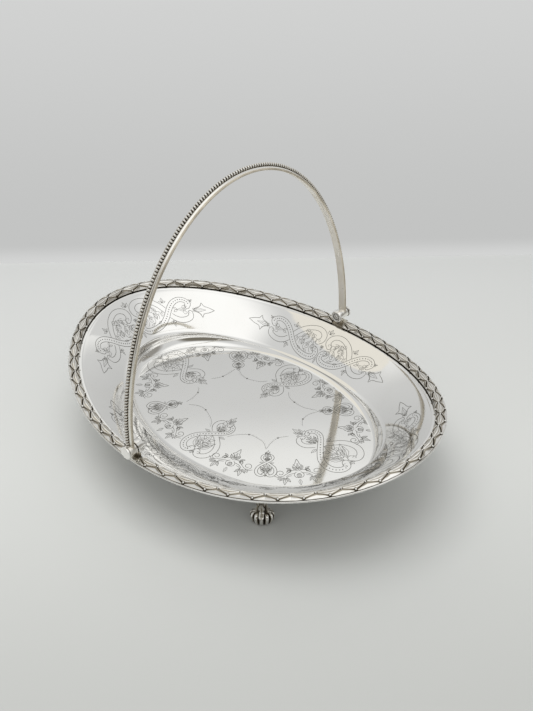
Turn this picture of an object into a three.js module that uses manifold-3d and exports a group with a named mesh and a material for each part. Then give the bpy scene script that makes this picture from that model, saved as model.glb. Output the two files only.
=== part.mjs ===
import * as THREE from 'three';
import { mergeVertices } from 'three/addons/utils/BufferGeometryUtils.js';
import Module from 'manifold-3d';

// Oval swing-handle basket in millimetres. It stands on z = 0, X runs along the oval and Y across it.

// Rim, measured over its wire
const rimLength = 320;
const rimWidth = 235.3;
const rimHeight = 65;
const rimRise = 8.5;
const rimCrest = 0.5;
const wireRadius = 0.9;

// Sheet bowl: a flat floor, a step up to the shoulder, a flared wall and a flange for the border
const sheet = 1.2;
const floorLength = 224.4;
const floorWidth = 145.6;
const floorHeight = 29.3;
const floorFillet = 3;
const shoulderLength = 231.8;
const shoulderWidth = 149.4;
const shoulderStep = 8.2;
const shoulderRise = 5.8;
const wallHollow = 0.07;
const lipWidth = 3;
const lipDrop = 0.8;

// Laurel border: cast quarters laid on the flange
const borderWidth = 8.3;
const borderDrop = 2.2;
const borderEdge = 0.6;
const leafHeight = 2.3;
const grooveShare = 0.42;
const leavesPerQuarter = 13;
const seamGap = 0.2;

// Swing handle: a ridged strap bent to half an ellipse, with a row of beads along its back
const bailHeight = 162.6;
const legInset = 1.55;
const strapWidth = 7.4;
const strapThickness = 2.4;
const strapChamfer = 0.6;
const seatWidth = 2.6;
const beadRadius = 1.25;
const beadNeck = 0.6;
const beadPitch = 2.7;
const beadClear = 0.8;

// Hinges: a saddle with a boss, and a riveted pin whose broad head holds the handle's eye against it
const eyeRadius = 4.2;
const eyeLift = 1.5;
const eyeLength = 6.4;
const bossRadius = 4.8;
const bossLength = 5.2;
const bossGroove = 0.35;
const saddleWidth = 11;
const saddleThickness = 1.3;
const lugWidth = 5;
const pinRadius = 1.5;
const headRadius = 4.8;
const headThickness = 1.7;
const headDome = 0.25;
const rivetProud = 0.4;

// Feet: fluted shells below a leaf that carries the bowl
const footAngle = 53;
const footOutset = 1.8;
const footTurn = 54;
const shellWidth = 17.6;
const shellDepth = 13;
const shellHeight = 11.5;
const shellRibs = 7;
const ribDepth = 0.75;
const neckWidth = 8.5;
const neckDepth = 6.5;
const tongueWidth = 7;
const tongueThickness = 1.4;
const leafWidth = 15;
const leafRise = 11.7;

// Clearances
const seatGap = 0.15;
const turnGap = 0.3;
const pinGap = 0.15;

// Steps round each form
const ovalSteps = 72;
const bailSteps = 40;
const beadSides = 4;
const roundSteps = 18;

const wasm = await Module();
wasm.setup();

const halfPi = Math.PI / 2;
const lerp = THREE.MathUtils.lerp;
const radians = THREE.MathUtils.degToRad;
const vec = (x, y, z) => new THREE.Vector3(x, y, z);

// A closed body from its corners and triangles, turned so that its faces point out
function closedBody(points, faces) {
  let volume = 0;
  for (let i = 0; i < faces.length; i += 3) {
    const [a, b, c] = [points[faces[i]], points[faces[i + 1]], points[faces[i + 2]]];
    volume += a.dot(b.clone().cross(c));
  }
  const index = volume < 0 ? faces.slice().reverse() : faces;
  const geometry = new THREE.BufferGeometry();
  geometry.setAttribute('position', new THREE.Float32BufferAttribute(points.flatMap((p) => [p.x, p.y, p.z]), 3));
  geometry.setIndex(index);
  return geometry;
}

// Triangles of a flat ring of points, as places in that ring
function capTriangles(ring) {
  const normal = vec(0, 0, 0);
  ring.forEach((point, i) => {
    const next = ring[(i + 1) % ring.length];
    normal.add(point.clone().sub(ring[0]).cross(next.clone().sub(ring[0])));
  });
  normal.normalize();
  const across = ring[1].clone().sub(ring[0]).normalize();
  const along = normal.clone().cross(across);
  const outline = ring.map((p) => new THREE.Vector2(p.dot(across), p.dot(along)));
  return THREE.ShapeUtils.triangulateShape(outline, []);
}

// A body through rings of equal count, with flat ends, or running round into itself
function loft(rings, { loop = false } = {}) {
  const count = rings[0].length;
  const faces = [];
  const spans = loop ? rings.length : rings.length - 1;
  for (let i = 0; i < spans; i += 1) {
    const low = i * count;
    const high = ((i + 1) % rings.length) * count;
    for (let j = 0; j < count; j += 1) {
      const next = (j + 1) % count;
      faces.push(low + j, low + next, high + next, low + j, high + next, high + j);
    }
  }
  if (!loop) {
    const last = (rings.length - 1) * count;
    capTriangles(rings[0]).forEach(([a, b, c]) => faces.push(a, c, b));
    capTriangles(rings[rings.length - 1]).forEach(([a, b, c]) => faces.push(last + a, last + b, last + c));
  }
  return closedBody(rings.flat(), faces);
}

function toSolid(geometry) {
  const plain = geometry.clone();
  plain.deleteAttribute('normal');
  plain.deleteAttribute('uv');
  const merged = mergeVertices(plain, 1e-4);
  return new wasm.Manifold(new wasm.Mesh({
    numProp: 3,
    vertProperties: new Float32Array(merged.attributes.position.array),
    triVerts: new Uint32Array(merged.index.array),
  }));
}

function toGeometry(solid) {
  const mesh = solid.getMesh();
  const geometry = new THREE.BufferGeometry();
  geometry.setAttribute('position', new THREE.BufferAttribute(mesh.vertProperties, 3));
  geometry.setIndex(new THREE.BufferAttribute(mesh.triVerts, 1));
  return geometry;
}

// A turned piece whose outline is [radius, place along Y] pairs
function turnedAlongY(outline, steps = roundSteps) {
  return new THREE.LatheGeometry(outline.map(([r, y]) => new THREE.Vector2(r, y)), steps);
}

const rimTop = (t) => rimHeight + rimRise * Math.cos(2 * t) + rimCrest * Math.cos(4 * t);
const shoulderTop = (t) => floorHeight + shoulderStep + shoulderRise * Math.cos(2 * t);
const ovalPoint = (a, b, t, z) => vec(a * Math.cos(t), b * Math.sin(t), z);

function ovalRing(a, b, height, steps = ovalSteps) {
  return Array.from({ length: steps }, (_, i) => {
    const t = (i / steps) * 2 * Math.PI;
    return ovalPoint(a, b, t, height(t));
  });
}

// The flange is set in from the rim by `inset`, and lies `lift` above the sheet's own top face
const rimA = rimLength / 2;
const rimB = rimWidth / 2;
const flangeEdge = 2 * wireRadius + seatGap;
function flangeTop(inset, lift = 0) {
  const slope = borderDrop / borderWidth;
  return (t) => rimTop(t) - borderEdge - slope * inset + lift;
}

// Rings of the bowl's inside, from the floor's edge out to the flange's edge
function bowlInside() {
  const rings = [ovalRing(floorLength / 2 - floorFillet, floorWidth / 2 - floorFillet, () => floorHeight)];
  const riser = [[0.2, 0.1], [0.55, 0.42], [0.9, 0.84]];
  riser.forEach(([out, up]) => {
    const a = lerp(floorLength / 2 - floorFillet, shoulderLength / 2, out);
    const b = lerp(floorWidth / 2 - floorFillet, shoulderWidth / 2, out);
    rings.push(ovalRing(a, b, (t) => lerp(floorHeight, shoulderTop(t), up)));
  });
  const wallSteps = 4;
  const lipInset = borderWidth + lipWidth;
  for (let i = 0; i <= wallSteps; i += 1) {
    const s = i / wallSteps;
    const rise = s + wallHollow * Math.sin(Math.PI * s);
    const a = lerp(shoulderLength / 2 + 0.6, rimA - lipInset, s);
    const b = lerp(shoulderWidth / 2 + 0.6, rimB - lipInset, s);
    rings.push(ovalRing(a, b, (t) => lerp(shoulderTop(t), flangeTop(borderWidth)(t) - lipDrop, rise)));
  }
  [borderWidth, flangeEdge].forEach((inset) => {
    rings.push(ovalRing(rimA - inset, rimB - inset, flangeTop(inset)));
  });
  return rings;
}

// The same rings set off by `depth` below the sheet's top face
function offsetRings(rings, depth) {
  return rings.map((ring, i) => ring.map((point, j) => {
    if (i === 0) {
      return vec(point.x, point.y, point.z - depth);
    }
    const outer = rings[Math.min(i + 1, rings.length - 1)][j];
    const out = outer.clone().sub(rings[i - 1][j]);
    const along = ring[(j + 1) % ring.length].clone().sub(ring[(j + ring.length - 1) % ring.length]);
    const normal = out.cross(along).normalize();
    return point.clone().addScaledVector(normal, -depth * Math.sign(normal.z || 1));
  }));
}

function makeBowl() {
  const inside = bowlInside();
  return loft([...offsetRings(inside, sheet), ...inside.slice().reverse()]);
}

// Everything above the bowl's underside, with the seat's clearance, to cut the pieces that carry it
function bowlSpace() {
  const under = offsetRings(bowlInside(), sheet + seatGap);
  const edge = under[under.length - 1].map((p) => vec(p.x * 1.2, p.y * 1.2, p.z));
  const lid = edge.map((p) => vec(p.x, p.y, rimHeight + 4 * rimRise));
  return toSolid(loft([...under, edge, lid]));
}

function makeRimWire() {
  const sides = 6;
  const rings = Array.from({ length: ovalSteps }, (_, i) => {
    const t = (i / ovalSteps) * 2 * Math.PI;
    const outward = vec(rimB * Math.cos(t), rimA * Math.sin(t), 0).normalize();
    const centre = ovalPoint(rimA - wireRadius, rimB - wireRadius, t, rimTop(t) - wireRadius - seatGap);
    return Array.from({ length: sides }, (_unused, k) => {
      const turn = (k / sides) * 2 * Math.PI;
      const point = centre.clone().addScaledVector(outward, wireRadius * Math.cos(turn));
      point.z += wireRadius * Math.sin(turn);
      return point;
    });
  });
  return loft(rings, { loop: true });
}

// Angles at even steps of arc along the middle of the border, from angle `start` to angle `end`
function evenAngles(start, end, count) {
  const fine = 1200;
  const angles = [];
  const lengths = [0];
  let previous = null;
  for (let i = 0; i <= fine; i += 1) {
    const t = lerp(start, end, i / fine);
    const point = ovalPoint(rimA - borderWidth / 2, rimB - borderWidth / 2, t, rimTop(t));
    if (previous) {
      lengths.push(lengths[i - 1] + point.distanceTo(previous));
    }
    angles.push(t);
    previous = point;
  }
  let k = 0;
  return Array.from({ length: count + 1 }, (_, i) => {
    const target = (lengths[fine] * i) / count;
    while (k < fine - 1 && lengths[k + 1] < target) {
      k += 1;
    }
    const share = (target - lengths[k]) / (lengths[k + 1] - lengths[k]);
    return lerp(angles[k], angles[k + 1], Math.min(1, share));
  });
}

// Sections across one laurel leaf. `at` is the place along the leaf, `half` and `crown` the half width and
// height of the middle leaf, and `ridge` and `ridgeTop` the place and height of the side leaf beside it.
const leafSections = [
  { at: 0, half: 0.07, crown: 0.66, ridge: 0.3, ridgeTop: 0.74 },
  { at: 0.2, half: 0.24, crown: 0.86, ridge: 0.36, ridgeTop: 0.64 },
  { at: 0.5, half: 0.4, crown: 1, ridge: 0.46, ridgeTop: 0.56 },
  { at: 0.8, half: 0.26, crown: 0.92, ridge: 0.37, ridgeTop: 0.64 },
];

function leafOutline({ half, crown, ridge, ridgeTop }) {
  const groove = grooveShare * leafHeight;
  const side = [[0, 0], [0, borderEdge], [0.5 - ridge, ridgeTop * leafHeight], [0.5 - half, groove]];
  const otherSide = side.map(([v, height]) => [1 - v, height]).reverse();
  return [...side, [0.5, crown * leafHeight], ...otherSide];
}

function makeBorderQuarter(start, end) {
  const angles = evenAngles(start, end, leavesPerQuarter);
  const underside = flangeTop(0, borderEdge + seatGap);
  const columns = angles.slice(1).flatMap((next, leaf) => (
    leafSections.map((section) => [lerp(angles[leaf], next, section.at), section])
  ));
  columns.push([end, leafSections[0]]);
  const rings = columns.map(([t, section]) => {
    const outer = ovalPoint(rimA - wireRadius / 2, rimB - wireRadius / 2, t, underside(t));
    const inner = ovalPoint(rimA - borderWidth, rimB - borderWidth, t, underside(t) - borderDrop);
    const across = outer.clone().sub(inner);
    const along = vec(-rimA * Math.sin(t), rimB * Math.cos(t), 0);
    const up = across.clone().cross(along).normalize();
    return leafOutline(section).map(([v, height]) => (
      inner.clone().addScaledVector(across, v).addScaledVector(up, height)
    ));
  });
  return loft(rings);
}

// Hinge axis, and the half ellipse of the handle above it
const legY = rimB - legInset;
const saddleBed = seatGap + pinGap;
const axisZ = rimTop(halfPi) + saddleBed + saddleThickness + eyeLift + eyeRadius;
const strapInner = -strapThickness / 2;
const strapSeat = strapThickness / 2;
const beadOffset = strapSeat + beadRadius + seatGap;

function bailFrame(turn) {
  const centre = vec(0, -legY * Math.cos(turn), axisZ + bailHeight * Math.sin(turn));
  const outward = vec(0, -bailHeight * Math.cos(turn), legY * Math.sin(turn)).normalize();
  return { centre, outward };
}

function makeHandle() {
  const half = strapWidth / 2;
  const section = [
    [-half, strapInner + strapChamfer],
    [-half + strapChamfer, strapInner],
    [half - strapChamfer, strapInner],
    [half, strapInner + strapChamfer],
    [half - strapChamfer / 2, strapInner + 2 * strapChamfer],
    [seatWidth / 2, strapSeat],
    [-seatWidth / 2, strapSeat],
    [-half + strapChamfer / 2, strapInner + 2 * strapChamfer],
  ];
  const rings = Array.from({ length: bailSteps + 1 }, (_, i) => {
    const { centre, outward } = bailFrame((i / bailSteps) * Math.PI);
    return section.map(([x, out]) => centre.clone().addScaledVector(outward, out).add(vec(x, 0, 0)));
  });
  let bail = toSolid(loft(rings));
  [-1, 1].forEach((side) => {
    const middle = side * legY;
    const eye = [[0, middle - eyeLength / 2], [eyeRadius, middle - eyeLength / 2],
      [eyeRadius, middle + eyeLength / 2], [0, middle + eyeLength / 2]];
    const bore = [[0, middle - eyeLength], [pinRadius + pinGap, middle - eyeLength],
      [pinRadius + pinGap, middle + eyeLength], [0, middle + eyeLength]];
    bail = bail.add(toSolid(turnedAlongY(eye).translate(0, 0, axisZ)));
    bail = bail.subtract(toSolid(turnedAlongY(bore).translate(0, 0, axisZ)));
  });
  return toGeometry(bail);
}

// Length along the bead row's line, walked in small steps so that each bead has the same pitch
function beadAngles() {
  const fine = 4000;
  const marks = [];
  let travelled = 0;
  let previous = null;
  for (let i = 0; i <= fine; i += 1) {
    const turn = (i / fine) * Math.PI;
    const { centre, outward } = bailFrame(turn);
    const point = centre.addScaledVector(outward, beadOffset);
    travelled += previous ? point.distanceTo(previous) : 0;
    previous = point;
    marks.push([travelled, turn]);
  }
  const beadStart = eyeRadius + beadClear;
  const run = travelled - 2 * beadStart;
  const steps = 2 * Math.round(run / beadPitch);
  let k = 0;
  return Array.from({ length: steps + 1 }, (_, i) => {
    const target = beadStart + (run * i) / steps;
    while (marks[k + 1][0] < target) {
      k += 1;
    }
    const share = (target - marks[k][0]) / (marks[k + 1][0] - marks[k][0]);
    return lerp(marks[k][1], marks[k + 1][1], share);
  });
}

function makeBeadRow() {
  const rings = beadAngles().map((turn, i) => {
    const { centre, outward } = bailFrame(turn);
    const radius = i % 2 ? beadRadius : beadNeck;
    centre.addScaledVector(outward, beadOffset);
    return Array.from({ length: beadSides }, (_, k) => {
      const angle = ((k + 0.5) / beadSides) * 2 * Math.PI;
      return centre.clone().addScaledVector(outward, radius * Math.cos(angle)).add(vec(radius * Math.sin(angle), 0, 0));
    });
  });
  return loft(rings);
}

// A plate cut to [y, z] corners and `width` wide along X
function plateAcross(corners, width) {
  const rings = [-width / 2, width / 2].map((x) => corners.map(([y, z]) => vec(x, y, z)));
  return loft(rings);
}

const eyeInner = legY - eyeLength / 2;
const eyeOuter = legY + eyeLength / 2;
const bossFace = eyeInner - turnGap - bossLength;

function makeBracket(side) {
  const rimZ = rimTop(halfPi);
  const inner = rimB - borderWidth;
  const drop = borderDrop + borderEdge;
  const saddle = plateAcross([
    [inner, rimZ - drop + saddleBed],
    [rimB, rimZ + saddleBed],
    [rimB, rimZ + saddleBed + saddleThickness],
    [inner, rimZ - drop + saddleBed + saddleThickness],
  ], saddleWidth);
  const lugBack = eyeInner - turnGap;
  const bedAt = (y) => rimZ + saddleBed + saddleThickness / 2 - ((rimB - y) * drop) / borderWidth;
  const lug = plateAcross([[inner, bedAt(inner)], [lugBack, bedAt(lugBack)], [lugBack, axisZ],
    [inner, axisZ]], lugWidth);
  const sunk = bossFace + bossGroove;
  const boss = turnedAlongY([[0, bossFace], [bossRadius - 2.4, bossFace], [bossRadius - 2.1, sunk],
    [bossRadius - 1.4, sunk], [bossRadius - 1.1, bossFace], [bossRadius - 0.4, bossFace],
    [bossRadius, bossFace + 0.4], [bossRadius, lugBack - 0.3], [bossRadius - 0.3, lugBack], [0, lugBack]]);
  const bore = turnedAlongY([[0, bossFace - bossLength], [pinRadius + pinGap, bossFace - bossLength],
    [pinRadius + pinGap, lugBack + bossLength], [0, lugBack + bossLength]]);
  const body = toSolid(saddle).add(toSolid(lug)).add(toSolid(boss.translate(0, 0, axisZ)))
    .subtract(toSolid(bore.translate(0, 0, axisZ)));
  const geometry = toGeometry(body);
  return side < 0 ? geometry.rotateZ(Math.PI) : geometry;
}

function makePin(side) {
  const tail = bossFace - rivetProud;
  const head = eyeOuter + turnGap;
  const face = head + headThickness;
  const outline = [[0, tail], [pinRadius * 0.7, tail], [pinRadius, bossFace], [pinRadius, head],
    [headRadius, head], [headRadius, face - 0.5], [headRadius - 0.5, face],
    [headRadius * 0.5, face + 0.8 * headDome], [0, face + headDome]];
  const geometry = turnedAlongY(outline).translate(0, 0, axisZ);
  return side < 0 ? geometry.rotateZ(Math.PI) : geometry;
}

// Shell foot: rings up a fluted shell, a narrow neck and the leaf that spreads under the bowl
function makeFoot(xSign, ySign) {
  const t = radians(footAngle);
  const outwardTurn = Math.atan2(Math.sin(t) / floorWidth, Math.cos(t) / floorLength);
  const centre = ovalPoint(floorLength / 2, floorWidth / 2, t, 0);
  centre.add(vec(Math.cos(outwardTurn), Math.sin(outwardTurn), 0).multiplyScalar(footOutset));
  const front = radians(footTurn);
  const out = vec(Math.cos(front), Math.sin(front), 0);
  const aside = vec(-Math.sin(front), Math.cos(front), 0);
  const leafTop = floorHeight + leafRise;
  const levels = [
    { z: 0, width: shellWidth * 0.66, depth: shellDepth * 0.7, lean: 0, flute: 0.6 },
    { z: shellHeight * 0.14, width: shellWidth * 0.88, depth: shellDepth * 0.9, lean: 0, flute: 1 },
    { z: shellHeight * 0.45, width: shellWidth, depth: shellDepth, lean: 0, flute: 1.2 },
    { z: shellHeight * 0.76, width: shellWidth * 0.95, depth: shellDepth * 0.88, lean: -0.2, flute: 1.1 },
    { z: shellHeight * 0.96, width: shellWidth * 0.78, depth: shellDepth * 0.66, lean: -0.8, flute: 0.8 },
    { z: shellHeight, width: neckWidth, depth: neckDepth, lean: -1, flute: 0 },
    { z: shellHeight + 4, width: neckWidth * 0.8, depth: neckDepth * 0.8, lean: -0.4, flute: 0 },
    { z: shellHeight + 10, width: leafWidth * 0.75, depth: neckDepth * 0.9, lean: 1.6, flute: 0.3 },
    { z: lerp(shellHeight, leafTop, 0.72), width: leafWidth, depth: neckDepth, lean: 5, flute: 0.5 },
    { z: leafTop, width: leafWidth * 0.45, depth: neckDepth * 0.7, lean: 13, flute: 0.2 },
  ];
  const backSteps = 6;
  const frontSteps = 2 * shellRibs;
  const place = (z, ahead, along) => {
    const point = centre.clone().addScaledVector(out, ahead).addScaledVector(aside, along);
    return vec(xSign * point.x, ySign * point.y, z);
  };
  // A pointed leaf hangs from the neck over the shell's top, with a raised vein
  const tongueLevels = [[-1.6, 0.1, 6.1], [1.4, 0.42, 4.9], [4.2, 0.5, 3.4], [8.5, 0.3, 2.4]];
  const tongueRings = tongueLevels.map(([up, share, ahead]) => {
    const z = shellHeight + up;
    const half = share * tongueWidth;
    return [place(z, ahead - tongueThickness, -half), place(z, ahead - 0.4 * tongueThickness, -half),
      place(z, ahead, 0), place(z, ahead - 0.4 * tongueThickness, half), place(z, ahead - tongueThickness, half)];
  });
  const rings = levels.map(({ z, width, depth, lean, flute }) => {
    const ring = [];
    for (let k = 0; k < frontSteps + backSteps; k += 1) {
      const isFront = k <= frontSteps;
      const turn = isFront
        ? lerp(-halfPi * 1.1, halfPi * 1.1, k / frontSteps)
        : lerp(halfPi * 1.1, 2 * Math.PI - halfPi * 1.1, (k - frontSteps) / backSteps);
      const valley = isFront && k % 2 === 0 ? ribDepth * flute : 0;
      ring.push(place(z, lean + (depth / 2 - valley) * Math.cos(turn), (width / 2 - valley) * Math.sin(turn)));
    }
    return ring;
  });
  const stem = toSolid(loft(rings));
  return toGeometry(stem.add(toSolid(loft(tongueRings))).subtract(bowlSpace()));
}

const silver = { metalness: 1, roughness: 0.2 };
const finishes = {
  sheetSilver: { ...silver, color: 0xcfcdc6 },
  castSilver: { ...silver, color: 0xc6c3ba, roughness: 0.28 },
  handleSilver: { ...silver, color: 0xd2cfc8 },
  beadSilver: { ...silver, color: 0xbdb9ae, roughness: 0.3 },
};

const basket = new THREE.Group();
function addPiece(name, geometry, finish) {
  const mesh = new THREE.Mesh(geometry, new THREE.MeshStandardMaterial(finish));
  mesh.name = name;
  basket.add(mesh);
}

addPiece('bowl', makeBowl(), finishes.sheetSilver);
addPiece('rim_wire', makeRimWire(), finishes.sheetSilver);

// Each quarter runs from an end of the oval to the saddle's side
const saddleAngle = Math.asin((saddleWidth / 2 + seamGap) / (rimA - borderWidth));
const seamAngle = Math.asin(seamGap / 2 / (rimB - borderWidth));
const quarters = [
  ['border_back_right', seamAngle, halfPi - saddleAngle],
  ['border_back_left', Math.PI - seamAngle, halfPi + saddleAngle],
  ['border_front_left', Math.PI + seamAngle, 3 * halfPi - saddleAngle],
  ['border_front_right', 2 * Math.PI - seamAngle, 3 * halfPi + saddleAngle],
];
quarters.forEach(([name, start, end]) => addPiece(name, makeBorderQuarter(start, end), finishes.castSilver));

[['front', -1], ['back', 1]].forEach(([place, side]) => {
  addPiece(`hinge_bracket_${place}`, makeBracket(side), finishes.castSilver);
  addPiece(`hinge_pin_${place}`, makePin(side), finishes.castSilver);
  [['left', -1], ['right', 1]].forEach(([end, xSign]) => {
    addPiece(`foot_${place}_${end}`, makeFoot(xSign, side), finishes.castSilver);
  });
});

addPiece('handle_bail', makeHandle(), finishes.handleSilver);
addPiece('handle_beads', makeBeadRow(), finishes.beadSilver);

export default basket;
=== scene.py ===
from bisect import bisect_left, bisect_right
import math
import bpy
from mathutils import Matrix, Vector


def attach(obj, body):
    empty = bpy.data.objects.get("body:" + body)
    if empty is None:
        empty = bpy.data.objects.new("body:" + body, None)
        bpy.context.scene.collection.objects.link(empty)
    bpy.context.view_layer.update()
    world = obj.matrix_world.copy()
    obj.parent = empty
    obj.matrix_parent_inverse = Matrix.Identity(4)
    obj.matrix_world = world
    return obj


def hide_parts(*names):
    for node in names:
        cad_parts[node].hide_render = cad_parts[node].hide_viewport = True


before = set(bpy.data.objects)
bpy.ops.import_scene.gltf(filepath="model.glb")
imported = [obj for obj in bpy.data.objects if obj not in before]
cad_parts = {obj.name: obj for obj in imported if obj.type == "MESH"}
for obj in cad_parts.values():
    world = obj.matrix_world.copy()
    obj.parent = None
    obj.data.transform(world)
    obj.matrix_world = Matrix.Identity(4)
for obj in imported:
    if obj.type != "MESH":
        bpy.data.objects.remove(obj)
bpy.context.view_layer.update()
mm = 0.001
turn = 2 * math.pi
scene = bpy.context.scene
scene.view_settings.view_transform = "Standard"

# The view of the photograph, worked out from the rim, the floor and the handle
photoView = {
    "azimuth": 42.74,
    "elevation": 34.89,
    "roll": -0.95,
    "distance": 0.6621,     # from the middle of the rim
    "aside": 0.01548,
    "above": 0.01367,
    "rimMiddle": 0.065,
    "focalPixels": 870.7,
    "longSide": 711,
    "shiftPixels": 1.6,
    "sensor": 36,
}


def makeCamera():
    az, el, roll = (math.radians(photoView[name]) for name in ("azimuth", "elevation", "roll"))
    back = Vector((math.sin(az) * math.cos(el), -math.cos(az) * math.cos(el), math.sin(el)))
    right = Vector((math.cos(az), math.sin(az), 0))
    up = back.cross(right)
    rightTurned = right * math.cos(roll) + up * math.sin(roll)
    upTurned = up * math.cos(roll) - right * math.sin(roll)
    place = back * photoView["distance"] + rightTurned * photoView["aside"] + upTurned * photoView["above"]
    place.z += photoView["rimMiddle"]
    bpy.ops.object.camera_add()
    camera = bpy.context.object
    camera.name = "photoCamera"
    camera.data.sensor_width = photoView["sensor"]
    camera.data.lens = photoView["focalPixels"] * photoView["sensor"] / photoView["longSide"]
    camera.data.shift_x = -photoView["shiftPixels"] / photoView["longSide"]
    camera.data.clip_start = 0.01
    camera.matrix_world = Matrix.Translation(place) @ Matrix((rightTurned, upTurned, back)).transposed().to_4x4()
    scene.camera = camera


makeCamera()
print("camera placed")


def lerp(a, b, share):
    return a + (b - a) * share


def smooth(low, high, value):
    share = min(1.0, max(0.0, (value - low) / (high - low)))
    return share * share * (3 - 2 * share)


def bell(distance, width):
    # 1 in the middle of a line, dying away to both sides
    return math.exp(-(distance / width) ** 2)


def evenlyAlong(place, start, end, count, gap=0):
    # values at even lengths on the line that `place` draws, `gap` short of its ends, and the line's length
    fine = 3000
    points = [place(lerp(start, end, i / fine)) for i in range(fine + 1)]
    lengths = [0.0]
    for before, after in zip(points, points[1:]):
        lengths.append(lengths[-1] + (after - before).length)
    found = []
    for i in range(count + 1):
        target = gap + (lengths[-1] - 2 * gap) * i / count
        k = min(fine, max(1, bisect_left(lengths, target))) - 1
        share = (target - lengths[k]) / (lengths[k + 1] - lengths[k])
        found.append(lerp(start, end, (k + share) / fine))
    return found, lengths[-1]


def pickOnly(obj):
    bpy.ops.object.select_all(action="DESELECT")
    obj.select_set(True)
    bpy.context.view_layer.objects.active = obj


def startEdit(obj, kind="VERT"):
    # edit mode with the whole mesh selected
    pickOnly(obj)
    bpy.ops.object.mode_set(mode="EDIT")
    bpy.ops.mesh.select_mode(type=kind)
    bpy.ops.mesh.select_all(action="SELECT")


def endEdit():
    bpy.ops.object.mode_set(mode="OBJECT")


def bakePlace(obj):
    # puts the object's own move, turn and scale into its mesh
    pickOnly(obj)
    bpy.ops.object.transform_apply(location=True, rotation=True, scale=True)


def useModifier(obj, kind, **settings):
    pickOnly(obj)
    modifier = obj.modifiers.new(kind.lower(), kind)
    for name, value in settings.items():
        setattr(modifier, name, value)
    bpy.ops.object.modifier_apply(modifier=modifier.name)


def newMesh(addMesh, name, **settings):
    addMesh(location=(0, 0, 0), **settings)
    bpy.context.object.name = name
    return bpy.context.object


def joinAll(objects, name):
    pickOnly(objects[0])
    for obj in objects:
        obj.select_set(True)
    if len(objects) > 1:
        bpy.ops.object.join()
    objects[0].name = objects[0].data.name = name
    return objects[0]


def copyOf(obj, name):
    twin = obj.copy()
    twin.data = obj.data.copy()
    twin.name = twin.data.name = name
    scene.collection.objects.link(twin)
    return twin


def faceOut(obj, merge=True):
    startEdit(obj)
    if merge:
        bpy.ops.mesh.remove_doubles(threshold=1e-6)
    bpy.ops.mesh.normals_make_consistent(inside=False)
    endEdit()


def reshape(obj, law):
    for vertex in obj.data.vertices:
        vertex.co = law(vertex.co)
    obj.data.update()


def oxideAndShade(obj, law):
    # how much dark oxide, and at some places painted shade, there is on each point, 0 to 1
    layer = obj.data.attributes.get("oxideAndShade") or obj.data.attributes.new("oxideAndShade", "FLOAT", "POINT")
    for vertex, item in zip(obj.data.vertices, layer.data):
        item.value = min(1.0, max(0.0, law(vertex.co)))


def finishPiece(obj, sharp, body, slot, *nodes):
    # smooth up to an angle of `sharp` degrees, and told to the frame
    bakePlace(obj)
    bpy.ops.object.shade_smooth_by_angle(angle=math.radians(sharp))
    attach(obj, body)
    if nodes:
        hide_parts(*nodes)


def ball(around, high):
    return newMesh(bpy.ops.mesh.primitive_uv_sphere_add, "ball", segments=around, ring_count=high, radius=1)


def rings(sides, steps, name, fill="NGON"):
    # a round bar of radius 1, whose rings of points are pulled one from another and stand one unit apart
    obj = newMesh(bpy.ops.mesh.primitive_circle_add, name, vertices=sides, radius=1, fill_type=fill)
    startEdit(obj, "EDGE")
    for _ in range(steps):
        bpy.ops.mesh.extrude_region_move()
        bpy.ops.transform.translate(value=(0, 0, 1))
    endEdit()
    return obj


def bar(section, steps, name):
    # a straight closed bar: X and Y hold the section in millimetres, Z counts the steps
    obj, count = rings(len(section), steps, name), len(section)
    reshape(obj, lambda co: Vector((*section[round(math.atan2(-co.x, co.y) / turn * count) % count], co.z)))
    faceOut(obj)
    return obj


def turned(outline, name):
    # lathed from [radius, height] pairs in millimetres, closed at both ends, or open through the middle where
    # the outline comes back to its start
    obj = rings(48, len(outline) - 1, name)
    if outline[0] == outline[-1]:
        startEdit(obj, "FACE")
        bpy.ops.mesh.select_face_by_sides(number=4, type="GREATER", extend=False)
        bpy.ops.mesh.delete(type="ONLY_FACE")
        endEdit()

    def law(co):
        radius, height = outline[round(co.z)]
        return Vector((co.x * radius, co.y * radius, height)) * mm

    reshape(obj, law)
    faceOut(obj)
    return obj


# The rim rises towards the ends of the oval, as the sheet, the border and the wire all do
rim = {
    "length": 320,
    "width": 235.3,
    "height": 65,
    "rise": 8.5,
    "crest": 0.5,
    "borderWidth": 8.3,
    "borderDrop": 2.2,
    "borderEdge": 0.6,
    "seat": 0.15,
}


def rimTop(t):
    return rim["height"] + rim["rise"] * math.cos(2 * t) + rim["crest"] * math.cos(4 * t)


def flangeTop(t, inset, lift=0):
    return rimTop(t) - rim["borderEdge"] - rim["borderDrop"] / rim["borderWidth"] * inset + lift


def ovalPoint(inset, t, z):
    return Vector(((rim["length"] / 2 - inset) * math.cos(t), (rim["width"] / 2 - inset) * math.sin(t), z))


bowl = {
    "sheet": 1.2,
    "floor": (224.4, 145.6),
    "floorHeight": 29.3,
    "floorInsets": (12, 0.6, 0),
    "fillet": 3,
    "coveSteps": 9,
    "coveAngle": 82,
    "coveLean": 0.25,
    "shoulder": (231.8, 149.4),
    "shoulderStep": 8.2,
    "shoulderRise": 5.8,
    "shoulderRound": 0.25,
    "wallStart": 0.6,
    "wallRings": 14,
    "hollow": 0.07,
    "lipWidth": 3,
    "lipDrop": 0.8,
    # inset from the rim and lift over the flange's line, from the lip to the flange's edge
    "lip": ((10.9, -0.62), (10.4, -0.1), (9.6, 0.1), (8.8, -0.05), (8.3, 0), (1.95, 0)),
    "steps": 256,
}


def shoulderTop(t):
    return bowl["floorHeight"] + bowl["shoulderStep"] + bowl["shoulderRise"] * math.cos(2 * t)


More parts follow.
